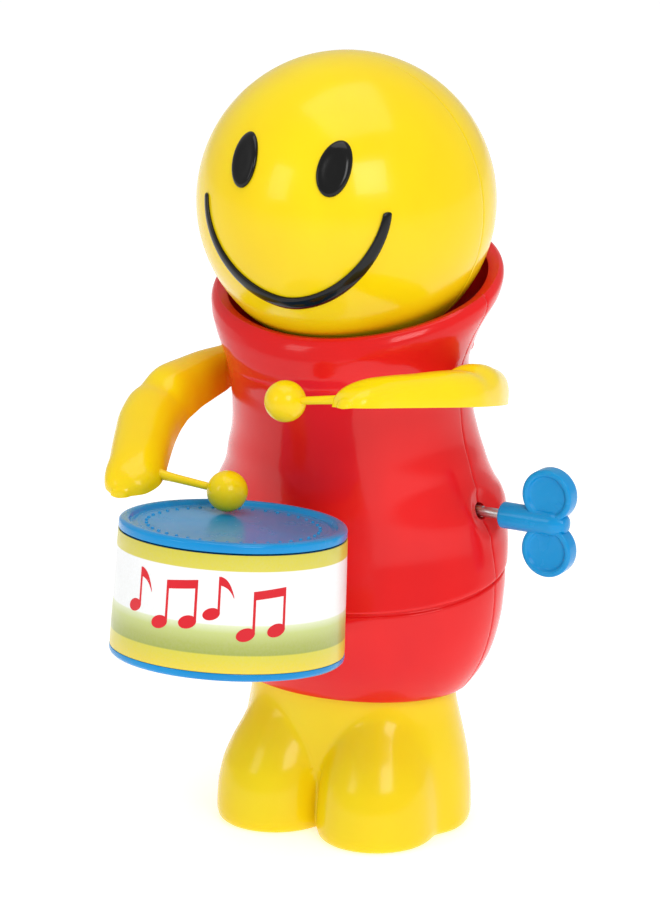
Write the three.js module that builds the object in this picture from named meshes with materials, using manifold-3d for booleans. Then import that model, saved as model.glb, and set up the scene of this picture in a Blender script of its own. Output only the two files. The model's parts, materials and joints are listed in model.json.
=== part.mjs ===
// Wind-up drummer: a ball-headed plastic toy that beats a tin-shaped drum with two swinging arms.
// Millimetres, +Z up, the face and the drum towards -Y, the toy's left and its key towards +X.
// The origin is on the floor, under the middle of the body.
import * as THREE from "three";
import { mergeVertices } from "three/addons/utils/BufferGeometryUtils.js";
import Module from "manifold-3d";

const wasm = await Module();
wasm.setup();

const { PI, cos, sin, sqrt, hypot, atan2, acos, tan, sign, abs, max } = Math;
const rad = (degrees) => (degrees * PI) / 180;

// ---------------------------------------------------------------- driving dimensions

const gap = 0.3; // between two pieces that touch
const running = 0.06; // radial clearance of a shaft in its hole

const wall = 2; // red body
const bodyBottom = 40; // height of the red body's lower edge
const bellyHeight = 70; // height of the widest belly section
const bellyHalfWidth = 44;
const bellyHalfDepth = 32.4;
const waistHeight = 119;
const waistHalfWidth = 33.2;
const waistHalfDepth = 31.2;
const collarHeight = 152; // at the side; the collar is low in front and high behind
const collarSlope = 0.27;
const hemSlope = 0.19;
const hemStep = 0.7;

const headRadius = 40.4;
const collarHalfWidth = headRadius + 1.2;
const collarHalfDepth = headRadius - 1.4;
const headWall = 1.8;
const headForward = 4.3; // head centre in front of the body's axis
const headHeight = collarHeight - 17.8 + headRadius;
const headTurned = 4; // degrees towards the toy's left at rest
const featureProud = 1.1; // eyes and mouth above the head

const feetWidthHalf = 34.5;
const feetHalfDepth = 27; // behind the axis
const feetInstep = 20; // in front of it, between the toes
const toeRadius = 16.6;
const toeSide = 16;
const toeForward = 15.6;
const hipHalfWidth = 29.5;
const hipHalfDepth = 21.5;
const feetWall = 2.2;

const drumRadius = 30; // lid
const drumBottomRadius = 31;
const drumHeight = 36;
const drumForward = 63.5; // centre of the lid
const drumTop = 100.6;
const drumPitch = 6.3; // degrees, front edge up
const lidBand = 2.6;
const lidRecess = 1.3;
const lidThick = 0.8;
const drumWall = 1.6;
const labelThick = 0.3;

const shoulderHeight = 123.8;
const shoulderBack = 8; // shoulder axis behind the body's axis
const armSwing = 26.28; // degrees between the two ends of a stroke
const armRaised = 12; // degrees, the raised arm's rim plane above level
const armSplay = 0.1; // rise of the rim plane outwards, per unit
const armInside = 36; // from the middle of the toy to the arm's inner wall
const armWall = 1.7;
const armShaftRadius = 2;
const ballRadius = 5.5;
const stickRadius = 1.05;
const stickReach = 61.9; // shoulder axis to the ball
const ballSide = 9.8;
const ballBelow = 4.59; // degrees from the arm's forward direction down to the ball

const keyHeight = 92.5; // winding arbor
const keyHubRadius = 3.6;
const wingRadius = 7.3;
const keyThick = 4.6;
const keyHubStart = bellyHalfWidth + 2;
const keyLength = 21.5;
const arborRadius = 1.5;

const plateX = 13.6; // half the distance between the motor plates
const plateThick = 1.2;
const wheelModule = 0.8;
const wheelTeeth = 40;
const pinionTeeth = 10;
const fastModule = 0.6;
const fastTeeth = 26;
const springRadius = 13.6;
const leverLength = 8;
const crankRadius = leverLength * sin(rad(armSwing / 2));

// ---------------------------------------------------------------- materials

function plastic(colour, roughness) {
  return new THREE.MeshStandardMaterial({ color: colour, roughness, metalness: 0 });
}
function metal(colour, roughness) {
  return new THREE.MeshStandardMaterial({ color: colour, roughness, metalness: 1 });
}
const yellow = plastic(0xf7da12, 0.25);
const red = plastic(0xe3171f, 0.2);
const blue = plastic(0x1795d6, 0.3);
const black = plastic(0x0c0c0c, 0.25);
const paper = plastic(0xf2f2ee, 0.6);
const nylon = plastic(0xe9e6da, 0.5);
const steel = metal(0xb9bcc0, 0.35);
const brass = metal(0xc9a24a, 0.35);
const springSteel = metal(0x6f7f92, 0.3);

// ---------------------------------------------------------------- shape helpers

const v = (x, y, z) => new THREE.Vector3(x, y, z);
const mix = (a, b, t) => a + (b - a) * t;

// A closed three.js geometry as a manifold-3d solid.
function solid(geometry) {
  const flat = geometry.index ? geometry.toNonIndexed() : geometry;
  const bare = new THREE.BufferGeometry().setAttribute("position", flat.getAttribute("position"));
  const merged = mergeVertices(bare, 1e-4);
  const made = new wasm.Manifold(
    new wasm.Mesh({
      numProp: 3,
      vertProperties: merged.attributes.position.array,
      triVerts: new Uint32Array(merged.index.array),
    }),
  );
  return made;
}

// A closed solid through rings of points. Its ends are capped, unless the last ring meets the first.
function loft(rings, ringToRing = false) {
  const count = rings[0].length;
  const points = rings.flat();
  const faces = [];
  const last = ringToRing ? rings.length : rings.length - 1;
  for (let r = 0; r < last; r++) {
    const a = r * count;
    const b = ((r + 1) % rings.length) * count;
    for (let i = 0; i < count; i++) {
      const j = (i + 1) % count;
      faces.push([a + i, a + j, b + j], [a + i, b + j, b + i]);
    }
  }
  if (!ringToRing) {
    [0, rings.length - 1].forEach((r) => {
      const middle = rings[r].reduce((s, p) => s.clone().add(p), v(0, 0, 0)).divideScalar(count);
      points.push(middle);
      for (let i = 0; i < count; i++) {
        const ends = [r * count + i, r * count + ((i + 1) % count)];
        faces.push(r === 0 ? [points.length - 1, ends[1], ends[0]] : [points.length - 1, ...ends]);
      }
    });
  }
  const volume = faces.reduce((sum, [a, b, c]) => {
    return sum + points[a].dot(points[b].clone().cross(points[c]));
  }, 0);
  const geometry = new THREE.BufferGeometry().setFromPoints(points);
  geometry.setIndex(faces.flatMap(([a, b, c]) => (volume > 0 ? [a, b, c] : [a, c, b])));
  return solid(geometry);
}

// A cylinder or cone between two points.
function rod(from, to, radius, sides = 16, endRadius = radius) {
  const length = from.distanceTo(to);
  const geometry = new THREE.CylinderGeometry(endRadius, radius, length, sides);
  const turn = new THREE.Quaternion().setFromUnitVectors(
    v(0, 1, 0),
    to.clone().sub(from).normalize(),
  );
  geometry.applyQuaternion(turn);
  const middle = from.clone().add(to).multiplyScalar(0.5);
  return solid(geometry.translate(middle.x, middle.y, middle.z));
}

const rodX = (x0, x1, radius, y, z, sides = 16) => rod(v(x0, y, z), v(x1, y, z), radius, sides);
const rodZ = (z0, z1, radius, x, y, sides = 16) => rod(v(x, y, z0), v(x, y, z1), radius, sides);

function box(low, high) {
  const size = high.clone().sub(low);
  const geometry = new THREE.BoxGeometry(size.x, size.y, size.z);
  const middle = low.clone().add(high).multiplyScalar(0.5);
  return solid(geometry.translate(middle.x, middle.y, middle.z));
}

// A flat outline in Y and Z, given as [y, z] points, drawn out along X from x0 to x1.
function plateYZ(points, x0, x1) {
  const shape = new THREE.Shape(points.map(([y, z]) => new THREE.Vector2(y, z)));
  const geometry = new THREE.ExtrudeGeometry(shape, { depth: x1 - x0, bevelEnabled: false });
  const toX = new THREE.Matrix4().makeBasis(v(0, 1, 0), v(0, 0, 1), v(1, 0, 0));
  return solid(geometry.applyMatrix4(toX).translate(x0, 0, 0));
}

// A lathe profile of [radius, height] points round the Z axis.
function lathe(points, sides) {
  const geometry = new THREE.LatheGeometry(
    points.map(([r, z]) => new THREE.Vector2(r, z)),
    sides,
  );
  geometry.rotateX(PI / 2);
  const made = solid(geometry);
  if (made.volume() > 0) return made;
  return solid(new THREE.LatheGeometry(
    points.map(([r, z]) => new THREE.Vector2(r, z)).reverse(),
    sides,
  ).rotateX(PI / 2));
}

const part = new THREE.Group();

// Adds a solid to a group as a named mesh.
function piece(name, made, material, group = part) {
  const mesh = made.getMesh();
  const indexed = new THREE.BufferGeometry();
  indexed.setAttribute("position", new THREE.BufferAttribute(mesh.vertProperties, mesh.numProp));
  indexed.setIndex(new THREE.BufferAttribute(mesh.triVerts, 1));
  const geometry = indexed.toNonIndexed();
  geometry.computeVertexNormals();
  const item = new THREE.Mesh(geometry, material);
  item.name = name;
  group.add(item);
  return item;
}

// ---------------------------------------------------------------- red body

const bodySides = 32;

// Level or sloping oval sections from the hem of the body up to the collar:
// height, slope with y, half width, half depth and the section's centre along y.
function bodySections() {
  const belly = (share) => [bellyHalfWidth * share, bellyHalfDepth * share];
  const hem = bellyHeight + 6;
  return [
    [bodyBottom, 0, ...belly(0.752), 0],
    [bodyBottom + 2, 0, ...belly(0.795), 0],
    [bodyBottom + 6, 0.02, ...belly(0.862), 0],
    [bodyBottom + 12, 0.06, ...belly(0.925), 0],
    [mix(bodyBottom, bellyHeight, 0.7), 0.12, ...belly(0.977), 0],
    [bellyHeight - 1, hemSlope, ...belly(1), 0],
    [hem - 2.2, hemSlope, bellyHalfWidth - 0.5, bellyHalfDepth - 0.2, 0],
    [hem - 1.6, hemSlope, bellyHalfWidth - 0.5 - hemStep, bellyHalfDepth - 0.2 - hemStep, 0],
    [hem - 0.6, hemSlope, bellyHalfWidth - 0.2, bellyHalfDepth + 0.1, 0],
    [hem + 5, hemSlope * 0.8, bellyHalfWidth - 0.9, bellyHalfDepth, 0.4],
    [mix(hem, waistHeight, 0.36), 0.1, bellyHalfWidth - 3.4, bellyHalfDepth - 0.1, 1],
    [mix(hem, waistHeight, 0.55), 0.05, mix(bellyHalfWidth, waistHalfWidth, 0.6), 32, 1.4],
    [mix(hem, waistHeight, 0.78), 0, mix(bellyHalfWidth, waistHalfWidth, 0.87), 31.5, 0.6],
    [waistHeight, 0, waistHalfWidth, waistHalfDepth, -1.2],
    [waistHeight + 12, 0.02, waistHalfWidth + 0.2, waistHalfDepth + 0.2, -3.4],
    [mix(waistHeight, collarHeight, 0.6), 0.12, mix(waistHalfWidth, collarHalfWidth, 0.32), 34.2, -3.6],
    [mix(waistHeight, collarHeight, 0.78), 0.2, mix(waistHalfWidth, collarHalfWidth, 0.56), 36, -2.6],
    [collarHeight - 4, collarSlope, mix(waistHalfWidth, collarHalfWidth, 0.8), 37.4, -1],
    [collarHeight - 1.2, collarSlope, collarHalfWidth, collarHalfDepth, -0.6],
    [collarHeight, collarSlope, collarHalfWidth - 0.5, collarHalfDepth - 0.5, -0.6],
  ];
}

function oval([z, slope, a, b, centre], inset) {
  return Array.from({ length: bodySides }, (_, i) => {
    const t = (2 * PI * i) / bodySides;
    const y = centre + (b - inset) * sin(t);
    return v((a - inset) * cos(t), y, z + slope * y);
  });
}

// The whole red skin, before it is parted into a front and a rear moulding.
function bodySkin() {
  const sections = bodySections();
  const outer = sections.map((s) => oval(s, 0));
  const innerRows = [0, 3, 5, 10, 12, 14, 16, 19];
  const inner = sections.filter((_, i) => innerRows.includes(i)).map((s) => oval(s, wall));
  const skin = loft([...outer, ...inner.reverse()], true);
  const bulk = loft(sections.map((s) => oval(s, wall / 2)));
  const boss = rodX(bellyHalfWidth - 8, bellyHalfWidth - 2.1, 10.5, 0, keyHeight - 1, 28);
  const dish = rod(v(bellyHalfWidth - 4.8, 0, keyHeight), v(bellyHalfWidth, 0, keyHeight), 3.4, 20, 7.5);
  const arborHole = rodX(30, bellyHalfWidth + 1, arborRadius + 0.8, 0, keyHeight);
  let shell = skin.add(boss).subtract(dish).subtract(arborHole);
  for (const side of [-1, 1]) {
    const seat = rodX(side * 26.7, side * 34, bushRadius + 2, shoulderBack, shoulderHeight);
    const hole = rodX(side * 24, side * 40, bushRadius + 0.05, shoulderBack, shoulderHeight);
    const clear = rodX(side * (armInside - gap - 2), side * 44, 13, shoulderBack, shoulderHeight, 20);
    shell = shell.add(seat).subtract(clear).subtract(hole);
  }
  return { shell, bulk };
}

const bushRadius = 4.2;
const screwPlaces = [
  [-20, 58],
  [20, 58],
  [-23.5, 134],
  [23.5, 134],
];
const screwRadius = 1.4;
const screwHeadRadius = 2.7;
const bossRadius = 3.6;

// Half the skin, with the screw bosses that hold the two halves together.
function bodyHalf(front) {
  const way = front ? -1 : 1;
  const far = 200;
  const seam = 0.1 * way;
  const cut = front
    ? box(v(-far, seam, -far), v(far, far, 2 * far))
    : box(v(-far, -far, -far), v(far, seam, 2 * far));
  const { shell, bulk } = bodySkin();
  let half = shell.subtract(cut);
  for (const [x, z] of screwPlaces) {
    const boss = rod(v(x, seam, z), v(x, way * 60, z), bossRadius, 16).intersect(bulk);
    half = half.add(boss);
    const bore = front
      ? rod(v(x, 1, z), v(x, -13, z), screwRadius - 0.2, 12)
      : rod(v(x, -1, z), v(x, 60, z), screwRadius + 0.3, 12);
    half = half.subtract(bore);
    if (!front) half = half.subtract(rod(v(x, 11, z), v(x, 60, z), screwHeadRadius + 0.3, 16));
  }
  return half;
}

let frontShell = bodyHalf(true);
const rearShell = bodyHalf(false);

// A pan-head screw along Y, its head behind.
function bodyScrew(x, z) {
  const shank = rod(v(x, -11, z), v(x, 11.4, z), screwRadius - 0.4, 14);
  const head = rod(v(x, 11.3, z), v(x, 13, z), screwHeadRadius, 20);
  const slot = box(v(x - 3, 12.4, z - 0.4), v(x + 3, 14, z + 0.4));
  return shank.add(head).subtract(slot);
}

// ---------------------------------------------------------------- drum

// The drum's own group: its origin is the middle of the lid's rim, its axis is its local Z.
const drum = new THREE.Group();
drum.position.set(0, -drumForward, drumTop);
drum.rotation.x = -rad(drumPitch);
part.add(drum);

const drumRadiusAt = (depth) => mix(drumRadius, drumBottomRadius, depth / drumHeight);

function makeDrum() {
  const sides = 36;
  const skin = labelThick + 0.15;
  const top = -lidBand - gap;
  const rTop = drumRadiusAt(-top) - skin;
  const rBottom = drumRadiusAt(drumHeight) - skin;
  const neck = drumRadius - 2 - gap;
  let shell = lathe(
    [
      [0, -drumHeight],
      [rBottom - 0.8, -drumHeight],
      [rBottom + skin, -drumHeight + 0.7],
      [rBottom + skin, -drumHeight + 2],
      [rBottom, -drumHeight + 2],
      [rTop, top - 1],
      [rTop - 0.3, top],
      [neck, top],
      [neck, -lidRecess - lidThick - gap],
      [neck - drumWall, -lidRecess - lidThick - gap],
      [rBottom - drumWall - 1, -drumHeight + drumWall],
      [0, -drumHeight + drumWall],
    ],
    sides,
  );
  const lid = lathe(
    [
      [0, -lidRecess],
      [drumRadius - 3.4, -lidRecess],
      [drumRadius - 2.6, -0.3],
      [drumRadius - 1.8, 0],
      [drumRadius - 0.8, -0.1],
      [drumRadius, -0.9],
      [drumRadius, -lidBand],
      [drumRadius - 2, -lidBand],
      [drumRadius - 2, -lidRecess - lidThick],
      [0, -lidRecess - lidThick],
    ],
    sides,
  );
  const low = -drumHeight + 2 + 0.15;
  const label = lathe(
    [
      [drumRadiusAt(-low) - labelThick, low],
      [drumRadiusAt(-low), low],
      [drumRadiusAt(-top), top - 0.3],
      [drumRadiusAt(-top) - labelThick, top - 0.3],
      [drumRadiusAt(-low) - labelThick, low],
    ],
    sides,
  );
  return { shell, lid, label };
}

const { shell: drumShell, lid: drumLid, label: drumLabel } = makeDrum();

// A square peg on the back of the drum enters a socket in the belly and is held by a screw from inside.
const pegHeight = 80;
const pegHalf = 5;
function drumPeg() {
  const bar = box(
    v(-pegHalf, -bellyHalfDepth - 5.6, pegHeight - pegHalf),
    v(pegHalf, -bellyHalfDepth + 5, pegHeight + pegHalf),
  );
  const bore = rod(v(0, -bellyHalfDepth - 0.8, pegHeight), v(0, -bellyHalfDepth + 9, pegHeight), 1.1, 14);
  return bar.subtract(bore);
}
function inDrum(made) {
  drum.updateMatrixWorld(true);
  return made.transform(drum.matrixWorld.elements);
}
let peg = drumPeg();
const drumBulk = inDrum(rodZ(-drumHeight - 1, 1, drumBottomRadius + gap, 0, 0, 36));
peg = peg.subtract(drumBulk);
frontShell = frontShell.subtract(
  box(
    v(-pegHalf - gap, -bellyHalfDepth - 12, pegHeight - pegHalf - gap),
    v(pegHalf + gap, -bellyHalfDepth + 6, pegHeight + pegHalf + gap),
  ),
);

piece("body_front_shell", frontShell, red);
piece("body_rear_shell", rearShell, red);
piece("drum_shell", drumShell, blue, drum);
piece("drum_lid", drumLid, blue, drum);
piece("drum_label", drumLabel, paper, drum);
piece("drum_peg", peg, blue);
piece(
  "drum_screw",
  rod(v(0, -bellyHalfDepth - 0.6, pegHeight), v(0, -bellyHalfDepth + 5.4, pegHeight), 0.9, 14).add(
    rod(v(0, -bellyHalfDepth + 5.3, pegHeight), v(0, -bellyHalfDepth + 7, pegHeight), 2.6, 20),
  ),
  steel,
);
screwPlaces.forEach(([x, z], i) => piece("body_screw_" + (i + 1), bodyScrew(x, z), steel));

// ---------------------------------------------------------------- feet

// Where a ray from the axis, at an angle, leaves a circle; zero if it misses.
function exitOf(angle, cx, cy, radius) {
  const along = cx * cos(angle) + cy * sin(angle);
  const inside = along * along - cx * cx - cy * cy + radius * radius;
  return inside > 0 ? along + sqrt(inside) : 0;
}

// The feet's outline at a share of the height, from the floor (0) to the hips (1).
function feetRing(z, share, inset) {
  const sides = 36;
  const a = mix(feetWidthHalf, hipHalfWidth, share) - inset;
  const toe = mix(toeRadius, 8, share) - inset;
  return Array.from({ length: sides }, (_, i) => {
    const t = (2 * PI * (i + 0.5)) / sides;
    const depth = sin(t) < 0 ? feetInstep : feetHalfDepth;
    const b = mix(depth, hipHalfDepth, share) - inset;
    const back = (a * b) / hypot(b * cos(t), a * sin(t));
    const forward = mix(toeForward, 8, share);
    const side = mix(toeSide, 14, share);
    const front = max(exitOf(t, -side, -forward, toe), exitOf(t, side, -forward, toe));
    const r = max(back, front);
    return v(r * cos(t), r * sin(t), z);
  });
}

function makeFeet() {
  const top = bodyBottom - gap;
  const levels = [
    [0, 0.02, 2.4],
    [1.2, 0.02, 0.7],
    [3.4, 0.02, 0],
    [16, 0.12, 0],
    [25, 0.42, 0],
    [34, 0.82, 0],
    [top, 1, 0],
  ];
  const outer = levels.map(([z, share, inset]) => feetRing(z, share, inset));
  const spigot = [
    feetRing(top, 1, 0.6),
    feetRing(bodyBottom + 5, 1, 0.6),
  ];
  const inner = [
    feetRing(bodyBottom + 5, 1, feetWall + 0.6),
    feetRing(34, 0.82, feetWall + 0.6),
    feetRing(16, 0.12, feetWall + 0.4),
    feetRing(feetWall, 0.02, feetWall + 3),
  ];
  return loft([...outer, ...spigot, ...inner]);
}
piece("feet_base", makeFeet(), yellow);

// ---------------------------------------------------------------- head

const head = new THREE.Group();
head.position.set(0, -headForward, headHeight);
head.rotation.z = rad(headTurned);
part.add(head);

const postRadius = 4;
const postBottom = shoulderHeight - 3.4; // foot of the neck post

function ball(radius, sides, rows) {
  return solid(new THREE.SphereGeometry(radius, sides, rows).rotateX(PI / 2));
}

function headHalf(front) {
  const shell = ball(headRadius, 32, 16).subtract(ball(headRadius - headWall, 16, 8));
  const seam = 0.08;
  const far = 60;
  const cut = front
    ? box(v(-far, -seam, -far), v(far, far, far))
    : box(v(-far, -far, -far), v(far, seam, far));
  const neck = rodZ(-far, -headRadius + 9, postRadius + 3.2, 0, 0, 32);
  return shell.subtract(cut).subtract(neck);
}
piece("head_front_shell", headHalf(true), yellow, head);
piece("head_rear_shell", headHalf(false), yellow, head);

// A thin skin just above the ball, cut to the outline of an eye or of the mouth.
function faceSkin(outline) {
  const shape = new THREE.Shape(outline.map(([x, z]) => new THREE.Vector2(x, z)));
  const prism = new THREE.ExtrudeGeometry(shape, { depth: 60, bevelEnabled: false });
  prism.rotateX(PI / 2); // the outline's second value becomes +Z, the depth runs to -Y
  const skin = ball(headRadius + featureProud, 48, 24).subtract(ball(headRadius + 0.12, 32, 16));
  return skin.intersect(solid(prism));
}

const eyeSide = 13;
const eyeUp = 16.4;
const eyeHalfWidth = 4.2;
const eyeHalfHeight = 6.9;
function eyeOutline(side) {
  return Array.from({ length: 28 }, (_, i) => {
    const t = (2 * PI * i) / 28;
    return [side * eyeSide + eyeHalfWidth * cos(t), eyeUp + eyeHalfHeight * sin(t)];
  });
}

const mouthHalf = 26.4;
const mouthTop = 5.5;
const mouthDeep = 26.2;
const mouthThick = 3.6;
const mouthEnd = 1.6;
const mouthBend = 1.8; // exponent of the curve; 2 is an ellipse
function mouthOutline() {
  const steps = 22;
  const lower = [];
  const upper = [];
  for (let i = 0; i <= steps; i++) {
    const t = (PI * i) / steps;
    const c = sign(cos(t)) * abs(cos(t)) ** (2 / mouthBend);
    const s = abs(sin(t)) ** (2 / mouthBend);
    const half = mix(mouthEnd, mouthThick, sin(t)) / 2;
    const n = v(cos(t) / mouthHalf, -sin(t) / mouthDeep, 0).normalize();
    lower.push([mouthHalf * c + n.x * half, mouthTop - mouthDeep * s + n.y * half]);
    upper.push([mouthHalf * c - n.x * half, mouthTop - mouthDeep * s - n.y * half]);
  }
  return [...lower, ...upper.reverse()];
}
piece("eye_right", faceSkin(eyeOutline(-1)), black, head);
piece("eye_left", faceSkin(eyeOutline(1)), black, head);
piece("mouth", faceSkin(mouthOutline()), black, head);

// The post hangs the head in the neck bearing; its collar carries the weight.
function neckPost() {
  const low = postBottom - headHeight;
  const flange = -headRadius + headWall + 2.6;
  return rodZ(low, flange + 2, postRadius - running, 0, 0, 16).add(rodZ(flange, flange + 2, 11, 0, 0, 20));
}
piece("neck_post", neckPost(), nylon, head);

// ---------------------------------------------------------------- arms

// Local frame of a left arm: x outwards, u forwards, n up, the shoulder axis at u = n = 0.
const ballDrop = stickReach * sin(rad(ballBelow));
const rimAt = (x) => -ballDrop - 0.6 + armSplay * (x - ballSide);

// Outer and inner edge of the rim as [x, u], and the height of the dome over them.
const armStations = [
  [[37, -4.6], [37, 12], 8],
  [[40.6, -1.6], [37, 14.5], 8.8],
  [[45, 5], [37.4, 17.5], 9.4],
  [[49, 11], [38, 21.5], 9.8],
  [[52, 18.5], [38.6, 26.5], 10],
  [[54.2, 27.5], [38.6, 32], 10],
  [[54.8, 36], [37.8, 37.5], 9.6],
  [[53.2, 44.5], [36, 44], 9.2],
  [[50, 52.5], [33.8, 50], 8.6],
  [[46.8, 59.5], [31.4, 56], 8.2],
  [[44, 65.5], [29.2, 61.5], 7.6],
  [[42.4, 70.2], [28, 66.6], 6.4],
  [[40.2, 73.8], [29, 71.2], 4.6],
  [[37.4, 75.6], [32.2, 74.4], 2.4],
];

// One section of the arm: flat below, domed above.
function armRing([outer, inner, height], inset, drop) {
  const steps = 8;
  const ends = [outer, inner].map(([x, u]) => v(x, -u, rimAt(x)));
  const across = ends[1].clone().sub(ends[0]);
  const width = across.length();
  const way = across.divideScalar(width);
  const middle = ends[0].clone().add(ends[1]).multiplyScalar(0.5);
  const half = width / 2 - inset;
  const points = [];
  for (let i = 0; i <= steps; i++) {
    const t = (PI * i) / steps;
    const c = sign(cos(t)) * abs(cos(t)) ** 0.8;
    const up = (height - inset) * sin(t) ** 0.75;
    points.push(middle.clone().addScaledVector(way, -c * half).add(v(0, 0, up - drop)));
  }
  return points;
}

function leftArm() {
  const dome = loft(armStations.map((s) => armRing(s, 0, 0)));
  const hollow = loft(
    armStations.filter((_, i) => [1, 3, 5, 7, 9, 11].includes(i)).map((s) => armRing(s, armWall, 0.6)),
  );
  const handX = 32;
  const hand = v(handX, -63.6, rimAt(handX) + 1.4);
  const end = v(ballSide, -stickReach * cos(rad(ballBelow)), -ballDrop);
  const stick = rod(end, hand, stickRadius, 10, 1.5);
  const knob = solid(new THREE.SphereGeometry(ballRadius, 14, 10).translate(end.x, end.y, end.z));
  const aboveRim = box(v(0, -9, rimAt(armInside)), v(60, 9, 9));
  const boss = rodX(armInside, armInside + 4, armShaftRadius + 1.4, 0, 0).intersect(aboveRim);
  const bore = rodX(armInside - 1, armInside + 2, armShaftRadius + 0.08, 0, 0);
  return dome.subtract(hollow).add(stick).add(knob).add(boss).subtract(bore);
}

// A solid reflected to the toy's right-hand side.
const mirrored = (made) => made.mirror([1, 0, 0]);

const leverX = 19.8;
const leverThick = 1.5;
const linkX = 18;
const linkThick = 1.3;
const leverPin = 0.8;

// Shaft with the lever that drives it, in the shoulder's frame; the lever is turned by an angle.
function armShaft(leverAngle) {
  const shaft = rodX(leverX, armInside + 1.7, armShaftRadius, 0, 0);
  const tip = v(0, leverLength * cos(leverAngle), leverLength * sin(leverAngle));
  const eye = rodX(leverX, leverX + leverThick, 2.2, tip.y, tip.z, 12);
  const hub = rodX(leverX, leverX + leverThick, 3.4, 0, 0);
  const pin = rodX(linkX - 0.5, leverX + 0.2, leverPin, tip.y, tip.z, 10);
  const n = v(0, -sin(leverAngle), cos(leverAngle)).multiplyScalar(1.7);
  const bar = plateYZ(
    [
      [n.y, n.z],
      [-n.y, -n.z],
      [tip.y - n.y, tip.z - n.z],
      [tip.y + n.y, tip.z + n.z],
    ],
    leverX,
    leverX + leverThick,
  );
  return shaft.add(hub).add(eye).add(bar).add(pin);
}

const leverHalf = armSwing / 2;
const crankY = shoulderBack + leverLength;
const meshDistance = (wheelModule * (wheelTeeth + pinionTeeth)) / 2;
const crankZ = keyHeight + sqrt(meshDistance ** 2 - crankY ** 2);

// A flat link with an eye at each end, hanging from the lever's pin.
function armLink(pinY, pinZ, lowY, lowZ) {
  const eyes = rodX(linkX, linkX + linkThick, 2, pinY, pinZ, 12).add(
    rodX(linkX, linkX + linkThick, 2, lowY, lowZ, 12),
  );
  const way = v(0, lowY - pinY, lowZ - pinZ).normalize();
  const n = v(0, -way.z, way.y);
  const bar = plateYZ(
    [
      [pinY + n.y, pinZ + n.z],
      [pinY - n.y, pinZ - n.z],
      [lowY - n.y, lowZ - n.z],
      [lowY + n.y, lowZ + n.z],
    ],
    linkX,
    linkX + linkThick,
  );
  return eyes
    .add(bar)
    .subtract(rodX(linkX - 1, linkX + 3, leverPin + running, pinY, pinZ, 10))
    .subtract(rodX(linkX - 1, linkX + 3, leverPin + running, lowY, lowZ, 10));
}

const bushBore = armShaftRadius + running;
const bush = rodX(26.3, 33, bushRadius - 0.05, 0, 0)
  .add(rodX(25.1, 26.5, bushRadius + 1.6, 0, 0))
  .subtract(rodX(20, 40, bushBore, 0, 0));

for (const side of [1, -1]) {
  const name = side > 0 ? "left" : "right";
  const turned = side > 0 ? armRaised : armRaised - armSwing;
  const flip = (made) => (side > 0 ? made : mirrored(made));
  const shoulder = new THREE.Group();
  shoulder.position.set(0, shoulderBack, shoulderHeight);
  part.add(shoulder);
  const arm = piece(name + "_arm", flip(leftArm()), yellow, shoulder);
  arm.rotation.x = -rad(turned);
  const leverAngle = -side * rad(leverHalf);
  piece(name + "_arm_shaft", flip(armShaft(leverAngle)), steel, shoulder);
  piece(name + "_shoulder_bush", flip(bush), nylon, shoulder);
  const tipY = shoulderBack + leverLength * cos(leverAngle);
  const tipZ = shoulderHeight + leverLength * sin(leverAngle);
  const crankPinZ = crankZ - side * crankRadius;
  piece(name + "_link", flip(armLink(tipY, tipZ, crankY, crankPinZ)), steel);
}

// ---------------------------------------------------------------- key

function keyBlade() {
  const x0 = keyHubStart;
  const hub = rodX(x0, x0 + keyLength, keyHubRadius, 0, 0, 20);
  const wingX = x0 + keyLength - wingRadius;
  const facing = (x, z) =>
    rod(v(x, -keyThick / 2, z), v(x, keyThick / 2, z), wingRadius, 28);
  const dish = (x, z, way) =>
    rod(v(x, way * (keyThick / 2 - 0.8), z), v(x, way * (keyThick / 2 + 1), z), wingRadius - 1.5, 20);
  let key = rodX(x0, x0 + keyLength - 3, keyHubRadius, 0, 0, 20);
  const lift = wingRadius + 0.3;
  for (const side of [-1, 1]) {
    let wing = facing(wingX, side * lift);
    for (const way of [-1, 1]) wing = wing.subtract(dish(wingX, side * lift, way));
    key = key.add(wing);
  }
  key = key.add(hub.intersect(box(v(x0, -9, -3), v(x0 + keyLength - 2.2, 9, 3))));
  return key.subtract(rodX(x0 - 1, x0 + 9, arborRadius + 0.08, 0, 0));
}
const winding = new THREE.Group();
winding.position.z = keyHeight;
part.add(winding);
piece("key", keyBlade(), blue, winding);

// ---------------------------------------------------------------- clockwork

// Outline of a spur gear with involute flanks, as [y, z] points; a tooth stands at the phase angle.
function gearOutline(teeth, module, phase, flankPoints) {
  const pitch = (teeth * module) / 2;
  const base = pitch * cos(rad(20));
  const tip = pitch + 0.9 * module;
  const root = pitch - 1.2 * module;
  const backlash = 0.34 * module;
  const involute = (r) => (r > base ? tan(acos(base / r)) - acos(base / r) : 0);
  const half = (r) => (PI * module - backlash) / 2 / (2 * pitch) + involute(pitch) - involute(r);
  const radii = [root];
  for (let k = 1; k <= flankPoints; k++) radii.push(mix(max(base, root), tip, k / flankPoints));
  const points = [];
  for (let i = 0; i < teeth; i++) {
    const middle = phase + (2 * PI * i) / teeth;
    const put = (r, way) => {
      const angle = middle + way * half(r);
      points.push([r * cos(angle), r * sin(angle)]);
    };
    radii.forEach((r) => put(r, -1));
    [...radii].reverse().forEach((r) => put(r, 1));
  }
  return points;
}

const gear = (teeth, module, phase, x0, x1, flankPoints) =>
  plateYZ(gearOutline(teeth, module, phase, flankPoints), x0, x1);

const trainX = -8; // plane of the great wheel
const fastX = -3.8; // plane of the second pair
const toCrank = atan2(crankZ - keyHeight, crankY);
const fastDistance = (fastModule * (fastTeeth + pinionTeeth)) / 2;
const toFan = rad(130);
const fanY = crankY + fastDistance * cos(toFan);
const fanZ = crankZ + fastDistance * sin(toFan);

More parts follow.
